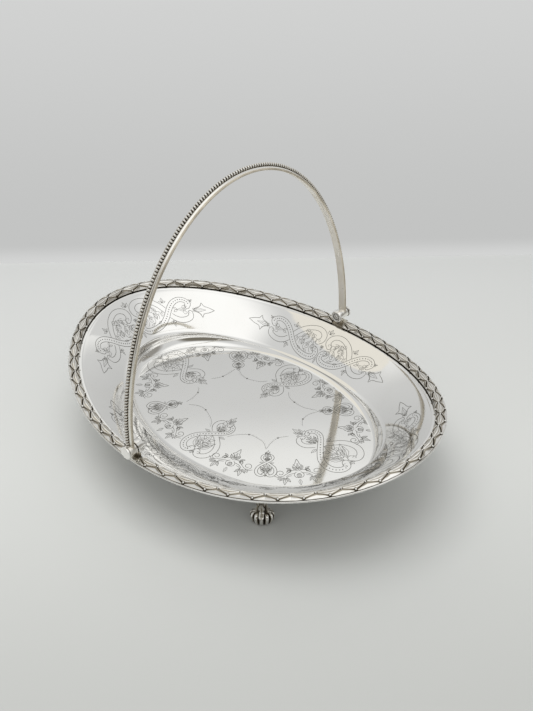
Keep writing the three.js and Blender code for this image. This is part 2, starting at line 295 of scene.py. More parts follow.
def wallRing(share):
    # half length, half width and height law of the flared wall, from the shoulder at 0 to the lip at 1
    lip = rim["borderWidth"] + bowl["lipWidth"]
    a, b = (lerp(low / 2 + bowl["wallStart"], high / 2 - lip, share)
            for low, high in zip(bowl["shoulder"], (rim["length"], rim["width"])))
    rise = share + bowl["hollow"] * math.sin(math.pi * share)
    return a, b, lambda t: lerp(shoulderTop(t), flangeTop(t, rim["borderWidth"]) - bowl["lipDrop"], rise)


def bowlRings():
    # half length, half width and height law of every ring, from the floor to the flange's edge
    floorA, floorB = (size / 2 - bowl["fillet"] for size in bowl["floor"])
    shoulderA, shoulderB = (size / 2 for size in bowl["shoulder"])
    soft = bowl["shoulderRound"]
    laws = [(floorA - inset, floorB - inset, lambda t: bowl["floorHeight"]) for inset in bowl["floorInsets"]]
    widest = math.radians(bowl["coveAngle"])
    for step in range(1, bowl["coveSteps"] + 1):
        angle = widest * step / bowl["coveSteps"]
        out = math.sin(angle) / math.sin(widest)
        up = lerp((1 - math.cos(angle)) / (1 - math.cos(widest)), out, bowl["coveLean"])
        laws.append((lerp(floorA, shoulderA, out), lerp(floorB, shoulderB, out),
                     lambda t, up=up: lerp(bowl["floorHeight"], shoulderTop(t) - soft, up)))
    laws.append((shoulderA + soft, shoulderB + soft, lambda t: shoulderTop(t) - 0.02))
    laws += [wallRing(step / bowl["wallRings"]) for step in range(bowl["wallRings"] + 1)]
    for inset, lift in bowl["lip"]:
        under = min(inset, rim["borderWidth"])
        laws.append((rim["length"] / 2 - inset, rim["width"] / 2 - inset,
                     lambda t, under=under, lift=lift: flangeTop(t, under, lift)))
    return laws


def makeBowl():
    laws = bowlRings()
    sheet = rings(bowl["steps"], len(laws) - 1, "bowlSheet", "NOTHING")
    # the first ring is filled in for the floor
    startEdit(sheet)
    bpy.ops.mesh.select_all(action="DESELECT")
    endEdit()
    for vertex in sheet.data.vertices:
        vertex.select = vertex.co.z < 0.5
    bpy.ops.object.mode_set(mode="EDIT")
    bpy.ops.mesh.edge_face_add()
    endEdit()

    def law(co):
        a, b, height = laws[round(co.z)]
        return Vector((co.x * a, co.y * b, height(math.atan2(co.y, co.x)))) * mm

    reshape(sheet, law)
    faceOut(sheet, False)
    floorFace = max(sheet.data.polygons, key=lambda face: face.area)
    if floorFace.normal.z < 0:
        startEdit(sheet)
        bpy.ops.mesh.flip_normals()
        endEdit()
    useModifier(sheet, "SOLIDIFY", thickness=bowl["sheet"] * mm, offset=-1, use_even_offset=True)
    finishPiece(sheet, 50, "basket", "sheet_silver", "bowl")
    return sheet


bowlSheet = makeBowl()
print("bowl made")

laurel = {
    "along": 44,            # cells of one leaf along the rim, and across the border
    "across": 42,
    "pitch": 16.3,          # length of one leaf along the rim
    "slopeLength": 8.1,
    "round": 2.25,          # height of the half-round moulding the leaves are cut into
    "edge": 0.62,
    "least": 0.3,
    "outset": 0.45,         # from the rim's line to the border's outer edge
    "relief": 1.2,
    "waist": 0.1,           # half width of the middle leaf at the beads and at the berries
    "belly": 0.84,
    "lineWidth": 0.36,
    "ribs": 2,
    # radius, place along and across one leaf, and height of two berries and the bead
    "seeds": [(0.84, 0.5, 0.085, 1.45), (0.84, 0.5, 0.915, 1.4), (0.72, 0.0, 0.5, 2.45)],
    "seedGap": 0.03,
    # two angles in degrees between which so many whole leaves lie, then the quarter's own ends
    "quarters": {
        "front_right": (271.9, 361.6, 13, 272.2, 359.95),
        "back_right": (1.6, 88.1, 13, 0.05, 87.8),
        "front_left": (176.2, 265.9, 13, 180.05, 267.8),
        "back_left": (176.2, 94.1, 12, 179.95, 92.2),
    },
}


def leafHeight(u, v):
    # height and oxide of the laurel at u along one leaf, bead to bead, and v across it from the inner edge
    half = rim["borderWidth"] / 2
    a = abs(2 * v - 1)
    swell = lerp((1 - abs(2 * u - 1)) ** 0.92, math.sin(math.pi * u) ** 0.9, 0.5)
    bound = lerp(laurel["waist"], laurel["belly"], swell)
    slant = math.hypot(1, 2 * (laurel["belly"] - laurel["waist"]) * half / laurel["slopeLength"])
    gap = abs(a - bound) * half / slant
    height = laurel["edge"] + (laurel["round"] - laurel["edge"]) * (1 - a ** 2)
    if a <= bound:
        # leaf with a full belly, higher at the end where it comes out from under the bead
        q = min(1.0, gap / max(0.25, bound * half / slant))
        dome = lerp(q, math.sqrt(max(0, 1 - (1 - q) ** 2.2)), 0.45)
        share = laurel["ribs"] * a / max(0.2, bound)
        rib = bell(share - min(1, round(share)), 0.17)
        rib *= smooth(0.08, 0.25, u) * smooth(0.95, 0.75, u) * smooth(0.08, 0.3, q)
        height += laurel["relief"] * dome * lerp(0.55, 1, min(1, 2.2 * u)) * lerp(1, 0.7, smooth(0.7, 1, u))
        height -= 0.18 * rib
        oxide = 0.6 * rib
    else:
        # crossed leaf edge between the leaf and the border's own edge
        m = (a - bound) / max(0.02, 1 - bound)
        size = min(1, (1 - bound) / 0.55)
        groove = bell(m - 0.45, 0.1) * size
        height += (0.15 + 0.75 * size) * bell(m - 0.38, 0.24) - 0.12 * groove
        height = max(laurel["edge"] * 0.8, height - 0.25 * smooth(0.75, 1, m))
        oxide = 0.7 * groove + 0.04 * smooth(0.5, 0.95, m)
    outline = bell(gap, laurel["lineWidth"])
    toBead = math.hypot(min(u, 1 - u) * laurel["pitch"], (v - 0.5) * rim["borderWidth"])
    toBerry = math.hypot((u - 0.5) * laurel["pitch"], (a - 0.88) * half)
    oxide += 1.1 * outline + 0.15 * smooth(0.075, 0.0, v)
    oxide += 1.1 * smooth(1.25, 0.85, toBead) + 0.9 * smooth(1.3, 0.9, toBerry)
    return height - 0.75 * outline, oxide


def makeLeafUnit():
    # one leaf laid out flat: X runs along the rim and Y across it as shares, Z is the height in millimetres
    rows = laurel["across"] + 4
    sheet = newMesh(bpy.ops.mesh.primitive_grid_add, "laurelUnit", x_subdivisions=laurel["along"],
                    y_subdivisions=rows - 1, size=2)
    marks = {}

    def law(co):
        u = (co.x + 1) / 2
        row = round((co.y + 1) / 2 * (rows - 1))
        # the first and last rows go down to the underside, and meet below it
        if row in (0, rows - 1):
            return Vector((u, 0.5, 0))
        if row in (1, rows - 2):
            return Vector((u, 0.0 if row == 1 else 1.0, 0))
        v = (row - 2) / (rows - 5)
        height, marks[(round(u, 4), round(v, 4))] = leafHeight(u, v)
        return Vector((u, v, max(laurel["least"], height)))

    reshape(sheet, law)
    oxideAndShade(sheet, lambda co: marks.get((round(co.x, 4), round(co.y, 4)), 1.0) if co.z > 0.01 else 1.0)
    return sheet


def makeSeed(radius, u, v, height):
    # a berry or bead, flattened onto its place, in the units of the leaf, and black where it meets it
    seed = ball(12, 8)
    width = rim["borderWidth"] - laurel["outset"]
    reshape(seed, lambda co: Vector((u + co.x * radius / laurel["pitch"], v + co.y * radius / width,
                                     height + co.z * radius * 0.95)))
    oxideAndShade(seed, lambda co: 1 - smooth(height - 0.55, height - 0.1, co.z))
    return seed


def ontoRim(t, v, w):
    # v runs across the border from its inner edge at 0, w is the height over its underside, in millimetres
    top = flangeTop(t, 0, rim["borderEdge"] + rim["seat"])
    outer = ovalPoint(laurel["outset"], t, top)
    inner = ovalPoint(rim["borderWidth"], t, top - rim["borderDrop"])
    along = Vector((-rim["length"] / 2 * math.sin(t), rim["width"] / 2 * math.cos(t), 0))
    up = (outer - inner).cross(along).normalized()
    if up.z < 0:
        up.negate()
    return (inner + (outer - inner) * v + up * w) * mm


def placeAmong(angles, degrees):
    # where an angle lies among the leaves' ends, counted in leaves
    angle = math.radians(degrees)
    for i, (a, b) in enumerate(zip(angles, angles[1:])):
        share = (angle - a) / (b - a)
        if 0 <= share <= 1:
            return i + share
    return 0 if abs(angle - angles[0]) < abs(angle - angles[-1]) else len(angles) - 1


def makeBorder(place, start, end, count, cutStart, cutEnd):
    angles, _ = evenlyAlong(lambda t: ovalPoint(rim["borderWidth"] / 2, t, 0), math.radians(start),
                            math.radians(end), count)
    # one leaf more at each end, for the cut
    angles = [2 * angles[0] - angles[1], *angles, 2 * angles[-1] - angles[-2]]

    def bent(co):
        i = min(count + 1, max(0, int(co.x)))
        return ontoRim(lerp(angles[i], angles[i + 1], co.x - i), co.y, co.z)

    low, high = sorted((placeAmong(angles, cutStart), placeAmong(angles, cutEnd)))
    leaves, loose = [], []
    for i in range(count + 3):
        if low < i + 1 and i < min(high, count + 2):
            leaves.append(copyOf(laurelUnit, f"leaf{i}"))
            reshape(leaves[-1], lambda co: co + Vector((i, 0, 0)))
        for seed, (_, u, _, _) in zip(seeds, laurel["seeds"]):
            if low + laurel["seedGap"] < i + u < high - laurel["seedGap"]:
                loose.append(copyOf(seed, "seed"))
                reshape(loose[-1], lambda co: bent(co + Vector((i, 0, 0))))
    border = joinAll(leaves, "border" + place.title().replace("_", ""))
    startEdit(border)
    bpy.ops.mesh.remove_doubles(threshold=1e-4)
    for cut, side in ((low, -1), (high, 1)):
        bpy.ops.mesh.select_all(action="SELECT")
        bpy.ops.mesh.bisect(plane_co=(cut, 0, 0), plane_no=(side, 0, 0), clear_outer=True)
    # the cut ends are closed after the doubles are merged
    bpy.ops.mesh.select_all(action="SELECT")
    bpy.ops.mesh.remove_doubles(threshold=1e-4)
    bpy.ops.mesh.fill_holes(sides=0)
    bpy.ops.mesh.select_all(action="SELECT")
    bpy.ops.mesh.normals_make_consistent(inside=False)
    endEdit()
    reshape(border, bent)
    border = joinAll([border, *loose], border.name)
    faceOut(border, False)
    finishPiece(border, 60, "basket", "cast_silver", "border_" + place)
    return border


laurelUnit = makeLeafUnit()
seeds = [makeSeed(*row) for row in laurel["seeds"]]
borders = [makeBorder(place, *quarter) for place, quarter in laurel["quarters"].items()]
for obj in [laurelUnit] + seeds:
    bpy.data.objects.remove(obj)
print("border made")

wire = {"radius": 0.9, "sides": 12, "steps": 288}


def makeRimWire():
    # a thin ring, drawn out to the oval and lifted to the rim's line
    thin = 0.2
    ring = newMesh(bpy.ops.mesh.primitive_torus_add, "rimWire", major_segments=wire["steps"],
                   minor_segments=wire["sides"], major_radius=1, minor_radius=thin)

    def law(co):
        t = math.atan2(co.y, co.x)
        out, up = ((size / thin * wire["radius"]) for size in (co.xy.length - 1, co.z))
        centre = ovalPoint(wire["radius"], t, rimTop(t) - wire["radius"] - rim["seat"])
        away = Vector((rim["width"] * math.cos(t), rim["length"] * math.sin(t), 0)).normalized()
        return (centre + away * out + Vector((0, 0, up))) * mm

    reshape(ring, law)
    finishPiece(ring, 60, "basket", "sheet_silver", "rim_wire")
    return ring


rimWire = makeRimWire()

handle = {
    "legY": 116.1,
    "axisZ": 64.3,
    "height": 162.6,
    "steps": 140,
    "startGap": 2.7,
    # half of the strap's section from the middle of its inner face to the bead seat: across, outwards
    "section": [(0, -1.2), (1.9, -1.19), (2.8, -1.12), (3.4, -0.9), (3.68, -0.5), (3.66, -0.1), (3.35, 0.16),
                (2.6, 0.3), (2.1, 0.56), (1.72, 0.98), (1.3, 1.18), (0, 1.2)],
    # radius and place along the axis, round the eye and back to the start
    "eye": [(1.65, -3.2), (3.6, -3.2), (4.1, -2.95), (4.25, -2.5), (4.25, 2.5), (4.1, 2.95), (3.6, 3.2),
            (1.65, 3.2), (1.65, -3.2)],
    "eyeReach": 4.4,
    "beadRadius": 1.27,
    "beadFlat": 0.84,
    "beadPitch": 2.24,
    "beadOffset": 2.32,
    "beadStart": 5.0,
    "coreRadius": 0.75,
    "coreSunk": 0.5,
    "coreSteps": 80,
}


def bailPoint(angle, across, outwards):
    out = Vector((0, -handle["height"] * math.cos(angle), handle["legY"] * math.sin(angle))).normalized()
    centre = Vector((0, -handle["legY"] * math.cos(angle), handle["axisZ"] + handle["height"] * math.sin(angle)))
    return (centre + out * outwards + Vector((across, 0, 0))) * mm


def bailAngles(offset, gap, count):
    # angles at even lengths along the line that runs `offset` outside the strap's middle
    return evenlyAlong(lambda angle: bailPoint(angle, 0, offset) / mm, 0, math.pi, count, gap)


def toHingeAxis(obj, side, start):
    # turns a lathed piece so that its heights run outwards along Y from `start`, at one of the two hinges
    reshape(obj, lambda co: Vector((-side * co.x, side * (start * mm + co.z), handle["axisZ"] * mm + co.y)))
    faceOut(obj)


def fromAxis(co):
    return math.hypot(co.x, co.z - handle["axisZ"] * mm) / mm


def makeHandle():
    half = handle["section"]
    strap = bar(half + [(-x, y) for x, y in reversed(half[1:-1])], handle["steps"], "handleStrap")
    angles, _ = bailAngles(0, handle["startGap"], handle["steps"])
    reshape(strap, lambda co: bailPoint(angles[round(co.z)], co.x, co.y))
    parts = [strap]
    for side in (-1, 1):
        parts.append(turned(handle["eye"], "handleEye"))
        toHingeAxis(parts[-1], side, handle["legY"])
    joined = joinAll(parts, "handleStrap")
    faceOut(joined)

    def darkening(co):
        # a film on the inner face, and the flanges at the sides darker on the outer face
        if fromAxis(co) < handle["eyeReach"] and abs(co.y) > 0.1:
            return 0.1
        angle = math.atan2((co.z / mm - handle["axisZ"]) / handle["height"], -co.y / mm / handle["legY"])
        base, above = bailPoint(angle, 0, 0), bailPoint(angle, 0, 1)
        outwards = (co - base).dot((above - base).normalized()) / mm
        across = abs(co.x) / mm
        if outwards < -0.3:
            return 0.2 + 0.3 * smooth(2.4, 3.3, across)
        return 0.02 + 0.52 * smooth(2.1, 2.8, across) + 0.12 * smooth(1.9, 1.3, across)

    oxideAndShade(joined, darkening)
    finishPiece(joined, 35, "handle", "handle_silver", "handle_bail")
    return joined


def makeBeads():
    offset, start, radius = handle["beadOffset"], handle["beadStart"], handle["beadRadius"]
    _, length = bailAngles(offset, start, 1)
    angles, _ = bailAngles(offset, start, round((length - 2 * start) / handle["beadPitch"]))
    bead = ball(10, 6)
    startEdit(bead)
    bpy.ops.transform.rotate(value=math.pi / 2, orient_axis="Y", center_override=(0, 0, 0))
    endEdit()
    # black between the beads and under them
    oxideAndShade(bead, lambda co: max(smooth(0.5, 0.74, abs(co.z)), smooth(-0.45, -0.8, co.y)))
    parts = []
    for angle in angles:
        # angle that one bead takes up to each side
        reach = radius * handle["beadFlat"] / math.hypot(handle["legY"] * math.sin(angle),
                                                         handle["height"] * math.cos(angle))
        parts.append(copyOf(bead, "bead"))
        reshape(parts[-1], lambda co: bailPoint(angle + co.z * reach, co.x * radius, offset + co.y * radius))
    bpy.data.objects.remove(bead)
    core, thick = rings(8, handle["coreSteps"], "beadCore"), handle["coreRadius"]
    coreAngles, _ = bailAngles(offset, start, handle["coreSteps"])
    reshape(core, lambda co: bailPoint(coreAngles[round(co.z)], co.x * thick,
                                       offset - handle["coreSunk"] + co.y * thick))
    oxideAndShade(core, lambda co: 1)
    joined = joinAll([*parts, core], "handleBeads")
    faceOut(joined, False)
    finishPiece(joined, 50, "handle", "bead_silver", "handle_beads")
    return joined


handleStrap = makeHandle()
handleBeads = makeBeads()
print("handle made")

hinge = {
    "saddleWidth": 11,
    "saddleThickness": 1.3,
    "bed": 0.3,
    "lugWidth": 5,
    "lugFoot": 0.6,
    "bevel": 0.35,
    "bossStart": 107.4,
    "bossLength": 5.2,
    "inset": 0.2,
    "darkUpTo": 2.3,        # above the rim: the top of the oxide and painted shade below the boss
    # painted shade below the boss, deep at the front hinge and light at the back
    "dark": {-1: 0.85, 1: 0.35},
    "ringDepth": (0.6, 4),
    "ringRadius": 3.2,
    # bull's-eye face and barrel of the boss, round it and back to the start
    "boss": [(1.62, 0.4), (1.7, 0.08), (2.25, 0.05), (2.4, 0.2), (2.45, 0.75), (2.95, 0.75), (3.0, 0.2), (3.15, 0.06),
             (4.3, 0.0), (4.7, 0.14), (4.95, 0.5), (4.95, 4.9), (4.7, 5.2), (1.62, 5.2), (1.62, 0.4)],
    # pin, with its small end inside and its broad head outside
    "pin": [(0.001, 0.35), (0.45, 0.3), (0.75, -0.1), (1.0, -0.25), (1.35, -0.12), (1.52, 0.1), (1.55, 12.25),
            (4.5, 12.25), (4.8, 12.55), (4.8, 13.3), (4.62, 13.7), (4.2, 13.92), (3.2, 14.05), (1.6, 14.15),
            (0.001, 14.18)],
}


def bracketPlate(corners, width, side, name):
    # a bar cut to corners given as distance along Y and height, near and far below, then far and near above
    near, far, farTop, nearTop = corners
    plate = newMesh(bpy.ops.mesh.primitive_cube_add, name, size=1)

    def law(co):
        low, high = (far, farTop) if co.y > 0 else (near, nearTop)
        return Vector((co.x * width, *(high if co.z > 0 else low))) * mm

    reshape(plate, law)
    faceOut(plate)
    useModifier(plate, "BEVEL", width=hinge["bevel"] * mm, segments=3, limit_method="NONE")
    reshape(plate, lambda co: Vector((side * co.x, side * co.y, co.z)))
    return plate


def makeHinge(side, place):
    rimZ, axisZ, thick = rimTop(math.pi / 2), handle["axisZ"], hinge["saddleThickness"]
    outer, inner = (rim["width"] / 2 - inset for inset in (hinge["inset"], rim["borderWidth"]))
    drop = rim["borderDrop"] + rim["borderEdge"]
    low = rimZ + hinge["bed"]
    saddle = bracketPlate([(inner, low - drop), (outer, low), (outer, low + thick), (inner, low - drop + thick)],
                          hinge["saddleWidth"], side, "hingeSaddle")
    lugLow, lugStart, lugEnd = low + hinge["lugFoot"], inner + hinge["inset"], hinge["bossStart"] + hinge["bossLength"]
    lug = bracketPlate([(lugStart, lugLow - drop), (lugEnd, lugLow - drop * 0.6), (lugEnd - 0.3, axisZ - 2),
                        (lugStart, axisZ - 2)], hinge["lugWidth"], side, "hingeLug")
    boss = turned(hinge["boss"], "hingeBoss")
    toHingeAxis(boss, side, hinge["bossStart"])
    bracket = joinAll([saddle, lug, boss], "hingeBracket" + place)
    faceOut(bracket)

    def darkening(co):
        # oxide below the boss, with painted shade that is much deeper at the front hinge, and dark in the ring of its
        # face
        depth = abs(co.y) / mm - hinge["bossStart"]
        if co.z / mm < rimZ + hinge["darkUpTo"]:
            return 0.15 + hinge["dark"][side] * smooth(115, 112, abs(co.y) / mm)
        nearEnd, farEnd = hinge["ringDepth"]
        return 1.0 if nearEnd < depth < farEnd and fromAxis(co) < hinge["ringRadius"] else 0.0

    oxideAndShade(bracket, darkening)
    pin = turned(hinge["pin"], "hingePin" + place)
    toHingeAxis(pin, side, hinge["bossStart"])
    oxideAndShade(pin, lambda co: smooth(0.8, 0.5, fromAxis(co)) if abs(co.y) / mm < 110 else 0.0)
    for obj, kind in ((bracket, "bracket"), (pin, "pin")):
        finishPiece(obj, 35, "basket", "cast_silver", f"hinge_{kind}_{place.lower()}")
    return [bracket, pin]


hingePieces = makeHinge(-1, "Front") + makeHinge(1, "Back")
print("hinges made")

foot = {
    "angle": 53,
    "outset": 1.8,
    "facing": 54,
    "solder": 0.12,         # below the bowl, and a little further in
    "solderInside": 0.3,
    "inside": 0.988,
    "neckFrom": 9.3,
    "lobes": 12,
    "lobeSteps": 12,
    "lobeDepth": 1.5,
    # heights of the rings of points up the foot
    "heights": [0, 0.2, 0.45, 0.8, 1.3, 2, 2.8, 3.6, 4.4, 5.2, 6, 6.7, 7.3, 7.8, 8.2, 8.5, 8.75, 8.95, 9.1, 9.25, 9.4,
                9.6, 10, 10.6, 11.5, 12.6, 14, 15.6, 17.4, 19.4, 21.6, 24, 26.5, 29, 31.5, 34, 36.5, 38.5, 40, 41],
    # height, width, depth, lean outwards and strength of the flutes, each up the foot
    "levels": [(0, 12.0, 9.2, 0, 0.5), (0.6, 14.2, 11.0, 0, 0.9), (1.6, 16.0, 12.2, 0, 1.1), (3.6, 17.7, 13.2, 0, 1.2),
               (6.0, 18.4, 13.0, -0.1, 1.2), (7.8, 17.6, 11.6, -0.3, 1.15), (8.6, 16.0, 10.0, -0.6, 1.0),
               (9.1, 13.0, 8.0, -0.8, 0.7), (9.6, 9.6, 6.0, -0.9, 0.3), (11.5, 8.6, 5.2, -0.7, 0.3),
               (15, 7.8, 5.0, 0, 0.4), (21.5, 10.4, 5.7, 1.6, 0.35), (27, 13.2, 6.3, 3.6, 0.45),
               (33.5, 14.6, 6.2, 6.6, 0.5), (38, 11.0, 5.2, 10, 0.4), (41, 6.4, 4.4, 13, 0.2)],
    # lower end, upper end and half width of the two leaves
    "leaves": ((7.4, 13.2, 1.7), (12.2, 19.5, 2.1)),
    "leafSheet": 0.9,
    "curlSteps": 30,
    "curlTurn": 5.2,
    "curlAside": 5.6,
    "curlHeight": 10.2,
}


def undersideAt(x, y):
    # height of the bowl's underside above a place on the table, in millimetres
    last = None
    for a, b, height in bowlRings()[:-len(bowl["lip"])]:
        reach = math.hypot(x / a, y / b)
        now = height(math.atan2(y / b, x / a))
        if reach <= 1:
            if last is None:
                return now - bowl["sheet"]
            lastReach, lastHeight = last
            return lerp(now, lastHeight, (1 - reach) / max(1e-6, lastReach - reach)) - bowl["sheet"]
        last = (reach, now)
    return last[1] - bowl["sheet"]


def levelAt(z):
    levels = foot["levels"]
    for low, high in zip(levels, levels[1:]):
        if z <= high[0]:
            share = (z - low[0]) / (high[0] - low[0])
            share = lerp(share, smooth(0, 1, share), 0.5)
            return [lerp(a, b, share) for a, b in zip(low[1:], high[1:])]
    return list(levels[-1][1:])


def makeFoot(xSign, ySign, place):
    t, facing = math.radians(foot["angle"]), math.radians(foot["facing"])
    floorA, floorB = (size / 2 for size in bowl["floor"])
    outward = math.atan2(math.sin(t) / floorB, math.cos(t) / floorA)
    centre = Vector((floorA * math.cos(t) + foot["outset"] * math.cos(outward),
                     floorB * math.sin(t) + foot["outset"] * math.sin(outward), 0))
    ahead, aside = Vector((math.cos(facing), math.sin(facing), 0)), Vector((-math.sin(facing), math.cos(facing), 0))

    def toPlace(forward, side, z):
        # into this corner, and no higher than the bowl's underside
        x, y, _ = centre + ahead * forward + aside * side
        z = min(z, undersideAt(x, y) - foot["solder"],
                undersideAt(x * foot["inside"], y * foot["inside"]) - foot["solderInside"])
        return Vector((xSign * x, ySign * y, z)) * mm

    heights = foot["heights"]
    stem = rings(foot["lobes"] * foot["lobeSteps"], len(heights) - 1, "shellFoot")
    dark = {}

    def stemLaw(co):
        z = heights[round(co.z)]
        width, depth, lean, flute = levelAt(z)
        angle = math.atan2(co.x, co.y)
        groove = 1 - abs(math.sin(foot["lobes"] / 2 * angle + math.pi / 2)) ** 0.75
        valley = foot["lobeDepth"] * flute * groove * (1 if math.cos(angle) > -0.3 else 0.6)
        point = toPlace(lean + (depth / 2 - valley) * math.cos(angle), (width / 2 - valley) * math.sin(angle), z)
        hollow = smooth(0.14, 0.4, groove) * min(1, flute * 1.3)
        neck = smooth(8.5, 9.3, z) * smooth(19, 15, z) * lerp(0.85, 0.2, smooth(0.72, 0.88, abs(math.sin(angle))))
        dark[tuple(round(v, 6) for v in point)] = max(hollow, neck, smooth(1.2, 0.2, z))
        return point

    reshape(stem, stemLaw)
    # the stem is darker in its flutes, round its neck behind the leaves, and at its very bottom
    oxideAndShade(stem, lambda co: dark.get(tuple(round(v, 6) for v in co), 0.4))
    parts = [stem]

    # two pointed leaves, one over the other, on the neck and the shell's top, and a small curl at each side
    for low, high, wide in foot["leaves"]:
        tongue = newMesh(bpy.ops.mesh.primitive_grid_add, "footLeaf", x_subdivisions=14, y_subdivisions=18, size=2)

        def leafLaw(co):
            along = (co.y + 1) / 2
            half = wide * math.sin(math.pi * min(1, along ** 0.62 * 0.97 + 0.03)) ** 0.9 * (1 - 0.2 * along) + 0.15
            z = lerp(low, high, along)
            _, depth, lean, _ = levelAt(max(z, foot["neckFrom"]))
            bulge = 1.2 - 0.7 * abs(co.x) ** 1.5 - 0.4 * bell(co.x, 0.16) + 3.2 * smooth(10.4, 7.6, z)
            return toPlace(lean + depth / 2 + bulge, co.x * half, z)

        def veinDark(co):
            offMiddle = Vector((xSign * co.x, ySign * co.y, 0)).dot(aside) / mm - centre.dot(aside)
            return 0.15 + 0.5 * smooth(0.35, 0.1, abs(offMiddle))

        reshape(tongue, leafLaw)
        useModifier(tongue, "SOLIDIFY", thickness=foot["leafSheet"] * mm, offset=0)
        oxideAndShade(tongue, veinDark)
        parts.append(tongue)
    for hand in (-1, 1):
        roll = rings(10, foot["curlSteps"], "footCurl")

        def rollLaw(co):
            share = co.z / foot["curlSteps"]
            thick = 0.75 * lerp(0.75, 0.4, share) * (0.35 if co.z < 0.5 else 1)
            away = lerp(1.5, 0.3, share ** 0.7) + co.x * thick
            angle = share * foot["curlTurn"]
            return toPlace(1.4 + co.y * thick + 0.8 * share, hand * (foot["curlAside"] - away * math.cos(angle)),
                           foot["curlHeight"] + away * math.sin(angle))

        reshape(roll, rollLaw)
        oxideAndShade(roll, lambda co: 0.2)
        parts.append(roll)
    joined = joinAll(parts, "shellFoot" + place.title().replace("_", ""))
    faceOut(joined)
    finishPiece(joined, 50, "basket", "cast_silver", "foot_" + place)
    return joined


feet = [makeFoot(xSign, ySign, f"{row}_{end}")
        for row, ySign in (("front", -1), ("back", 1)) for end, xSign in (("left", -1), ("right", 1))]
print("feet made")

engraving = {
    "outline": 0.2,         # half the width of a bold cut, in millimetres
    "fine": 0.135,
    "faint": 0.11,
    "dot": 0.5,
    "dotPitch": 1.7,
    "step": 0.7,
    "proud": 0.03,
    "flatness": 0.28,
    "wallHeight": 38.5,     # the wall's height that the panels are drawn for
    # places of the motifs on the floor, as x, y and angle, and at its two ends also scale and stretch
    "straps": [(0.4, -37.6, 2), (-4, 41.6, 180)],
    "endStraps": [(68.4, 5.2, 90, 1.14, 1.06), (-77, 2.4, -90, 1.14, 1.04)],
    "smallStraps": [(51.4, -35.7, 37), (-53.4, -38.6, -31), (50, 44, 137), (-52, 42.4, -137)],
    "sprays": [(31.2, -51.4, 15), (-32.4, -52, -15), (75.6, -28.4, 48), (-82.5, -28.4, -52),
               (77, 37, 122), (-83.5, 34, -125), (30, 58.6, 166), (-37, 58, -163)],
    "sprayScale": 1.1,
    # lines of small dots, each with its larger dots
    "garlands": [
        ([(9.4, -34.5), (12.6, -28.8), (20.3, -21.4), (28.3, -20.3), (35, -21.2), (41, -25.4)],
         [(20.3, -21.4), (44, -28.6)]),
        ([(-8.6, -34.5), (-13, -28.4), (-26, -22), (-34, -22), (-41, -26)], [(-26, -22), (-46, -29.6)]),
        ([(41.2, -25.4), (39.2, -17.4), (39.4, -10), (44, -3)], [(39.3, -10)]),
        ([(44, 13), (39.2, 19), (38.8, 27), (41.4, 34)], [(38.8, 19.6), (43.6, 37.4)]),
        ([(8, 38), (13, 33.4), (20, 31.2), (30, 31), (40, 35)], [(20, 31.2)]),
        ([(-15, 38), (-20, 33), (-30, 29.6), (-38, 31), (-44, 35)], [(-30, 29.6), (-46, 37)]),
        ([(-52, 10), (-47.5, 17), (-46.4, 26), (-46.6, 33)], [(-47, 18.6)]),
        ([(-52, -5), (-47.2, -10), (-45, -18), (-45, -25)], [(-46.8, -10.4)]),
    ],
}


def smoothLine(points):
    # evenly stepped curve through the given points
    dense = []
    ends = [points[0], *points, points[-1]]
    for four in zip(ends, ends[1:], ends[2:], ends[3:]):
        for s in (k / 10 for k in range(10)):
            dense.append(tuple(0.5 * (2 * p1 + (p2 - p0) * s + (2 * p0 - 5 * p1 + 4 * p2 - p3) * s * s
                                      + (3 * p1 - p0 - 3 * p2 + p3) * s ** 3) for p0, p1, p2, p3 in zip(*four)))
    dense.append(points[-1])
    line, carried = [dense[0]], 0.0
    for a, b in zip(dense, dense[1:]):
        carried += math.dist(a, b)
        if carried >= engraving["step"]:
            line.append(b)
            carried = 0.0
    if math.dist(line[-1], dense[-1]) > 0.2:
        line.append(dense[-1])
    return line


# Every drawing is a list of cuts, each as its half width and its points, and one point alone is a dot
def cut(*points, size=None):
    return [(size or engraving["fine"], smoothLine(points))]


def dot(x, y, size=None):
    return [(size or engraving["dot"], [(x, y)])]


def curl(x, y, angle, radius, hand, turns=1.15):
    # a cut that rolls up from x, y, to the left when hand is 1
    points, heading, travelled = [(x, y)], math.radians(angle), 0.0
    while travelled < turns * turn:
        now = radius * (1 - 0.72 * travelled / (turns * turn))
        stride = min(0.6, now * 0.5)
        heading += hand * stride / now / 2
        x, y = x + stride * math.cos(heading), y + stride * math.sin(heading)
        heading += hand * stride / now / 2
        travelled += stride / now
        points.append((x, y))
    return [(engraving["fine"], points)]


def leaf(x, y, angle, length, width, bend=0, vein=True):
    # pointed leaf from its stem at x, y, that bends to the left by some degrees
    def at(along, aside):
        lean = math.radians(angle + bend * along / 2)
        across = math.radians(angle + bend * along + 90)
        return (x + along * length * math.cos(lean) + aside * width * math.cos(across),
                y + along * length * math.sin(lean) + aside * width * math.sin(across))

    art = []
    for side in (-1, 1):
        art += cut(at(0, 0), at(0.2, 0.3 * side), at(0.48, 0.5 * side), at(0.78, 0.2 * side), at(1, 0))
    return art + (cut(at(0.12, 0), at(0.4, 0), at(0.72, 0)) if vein else [])


def many(draw, rows, scale=1.0):
    # a drawing for each row of its values: the place, the length and a leaf's width grow with the scale
    art = []
    for x, y, angle, length, *more in rows:
        if draw is leaf:
            more[0] *= scale
        art += draw(x * scale, y * scale, angle, length * scale, *more)
    return art


def trefoil(x, y, angle, size):
    return many(leaf, [(x, y, angle, size, size * 0.42), (x, y, angle + 48, size * 0.68, size * 0.3, 25, False),
                       (x, y, angle - 48, size * 0.68, size * 0.3, -25, False)])


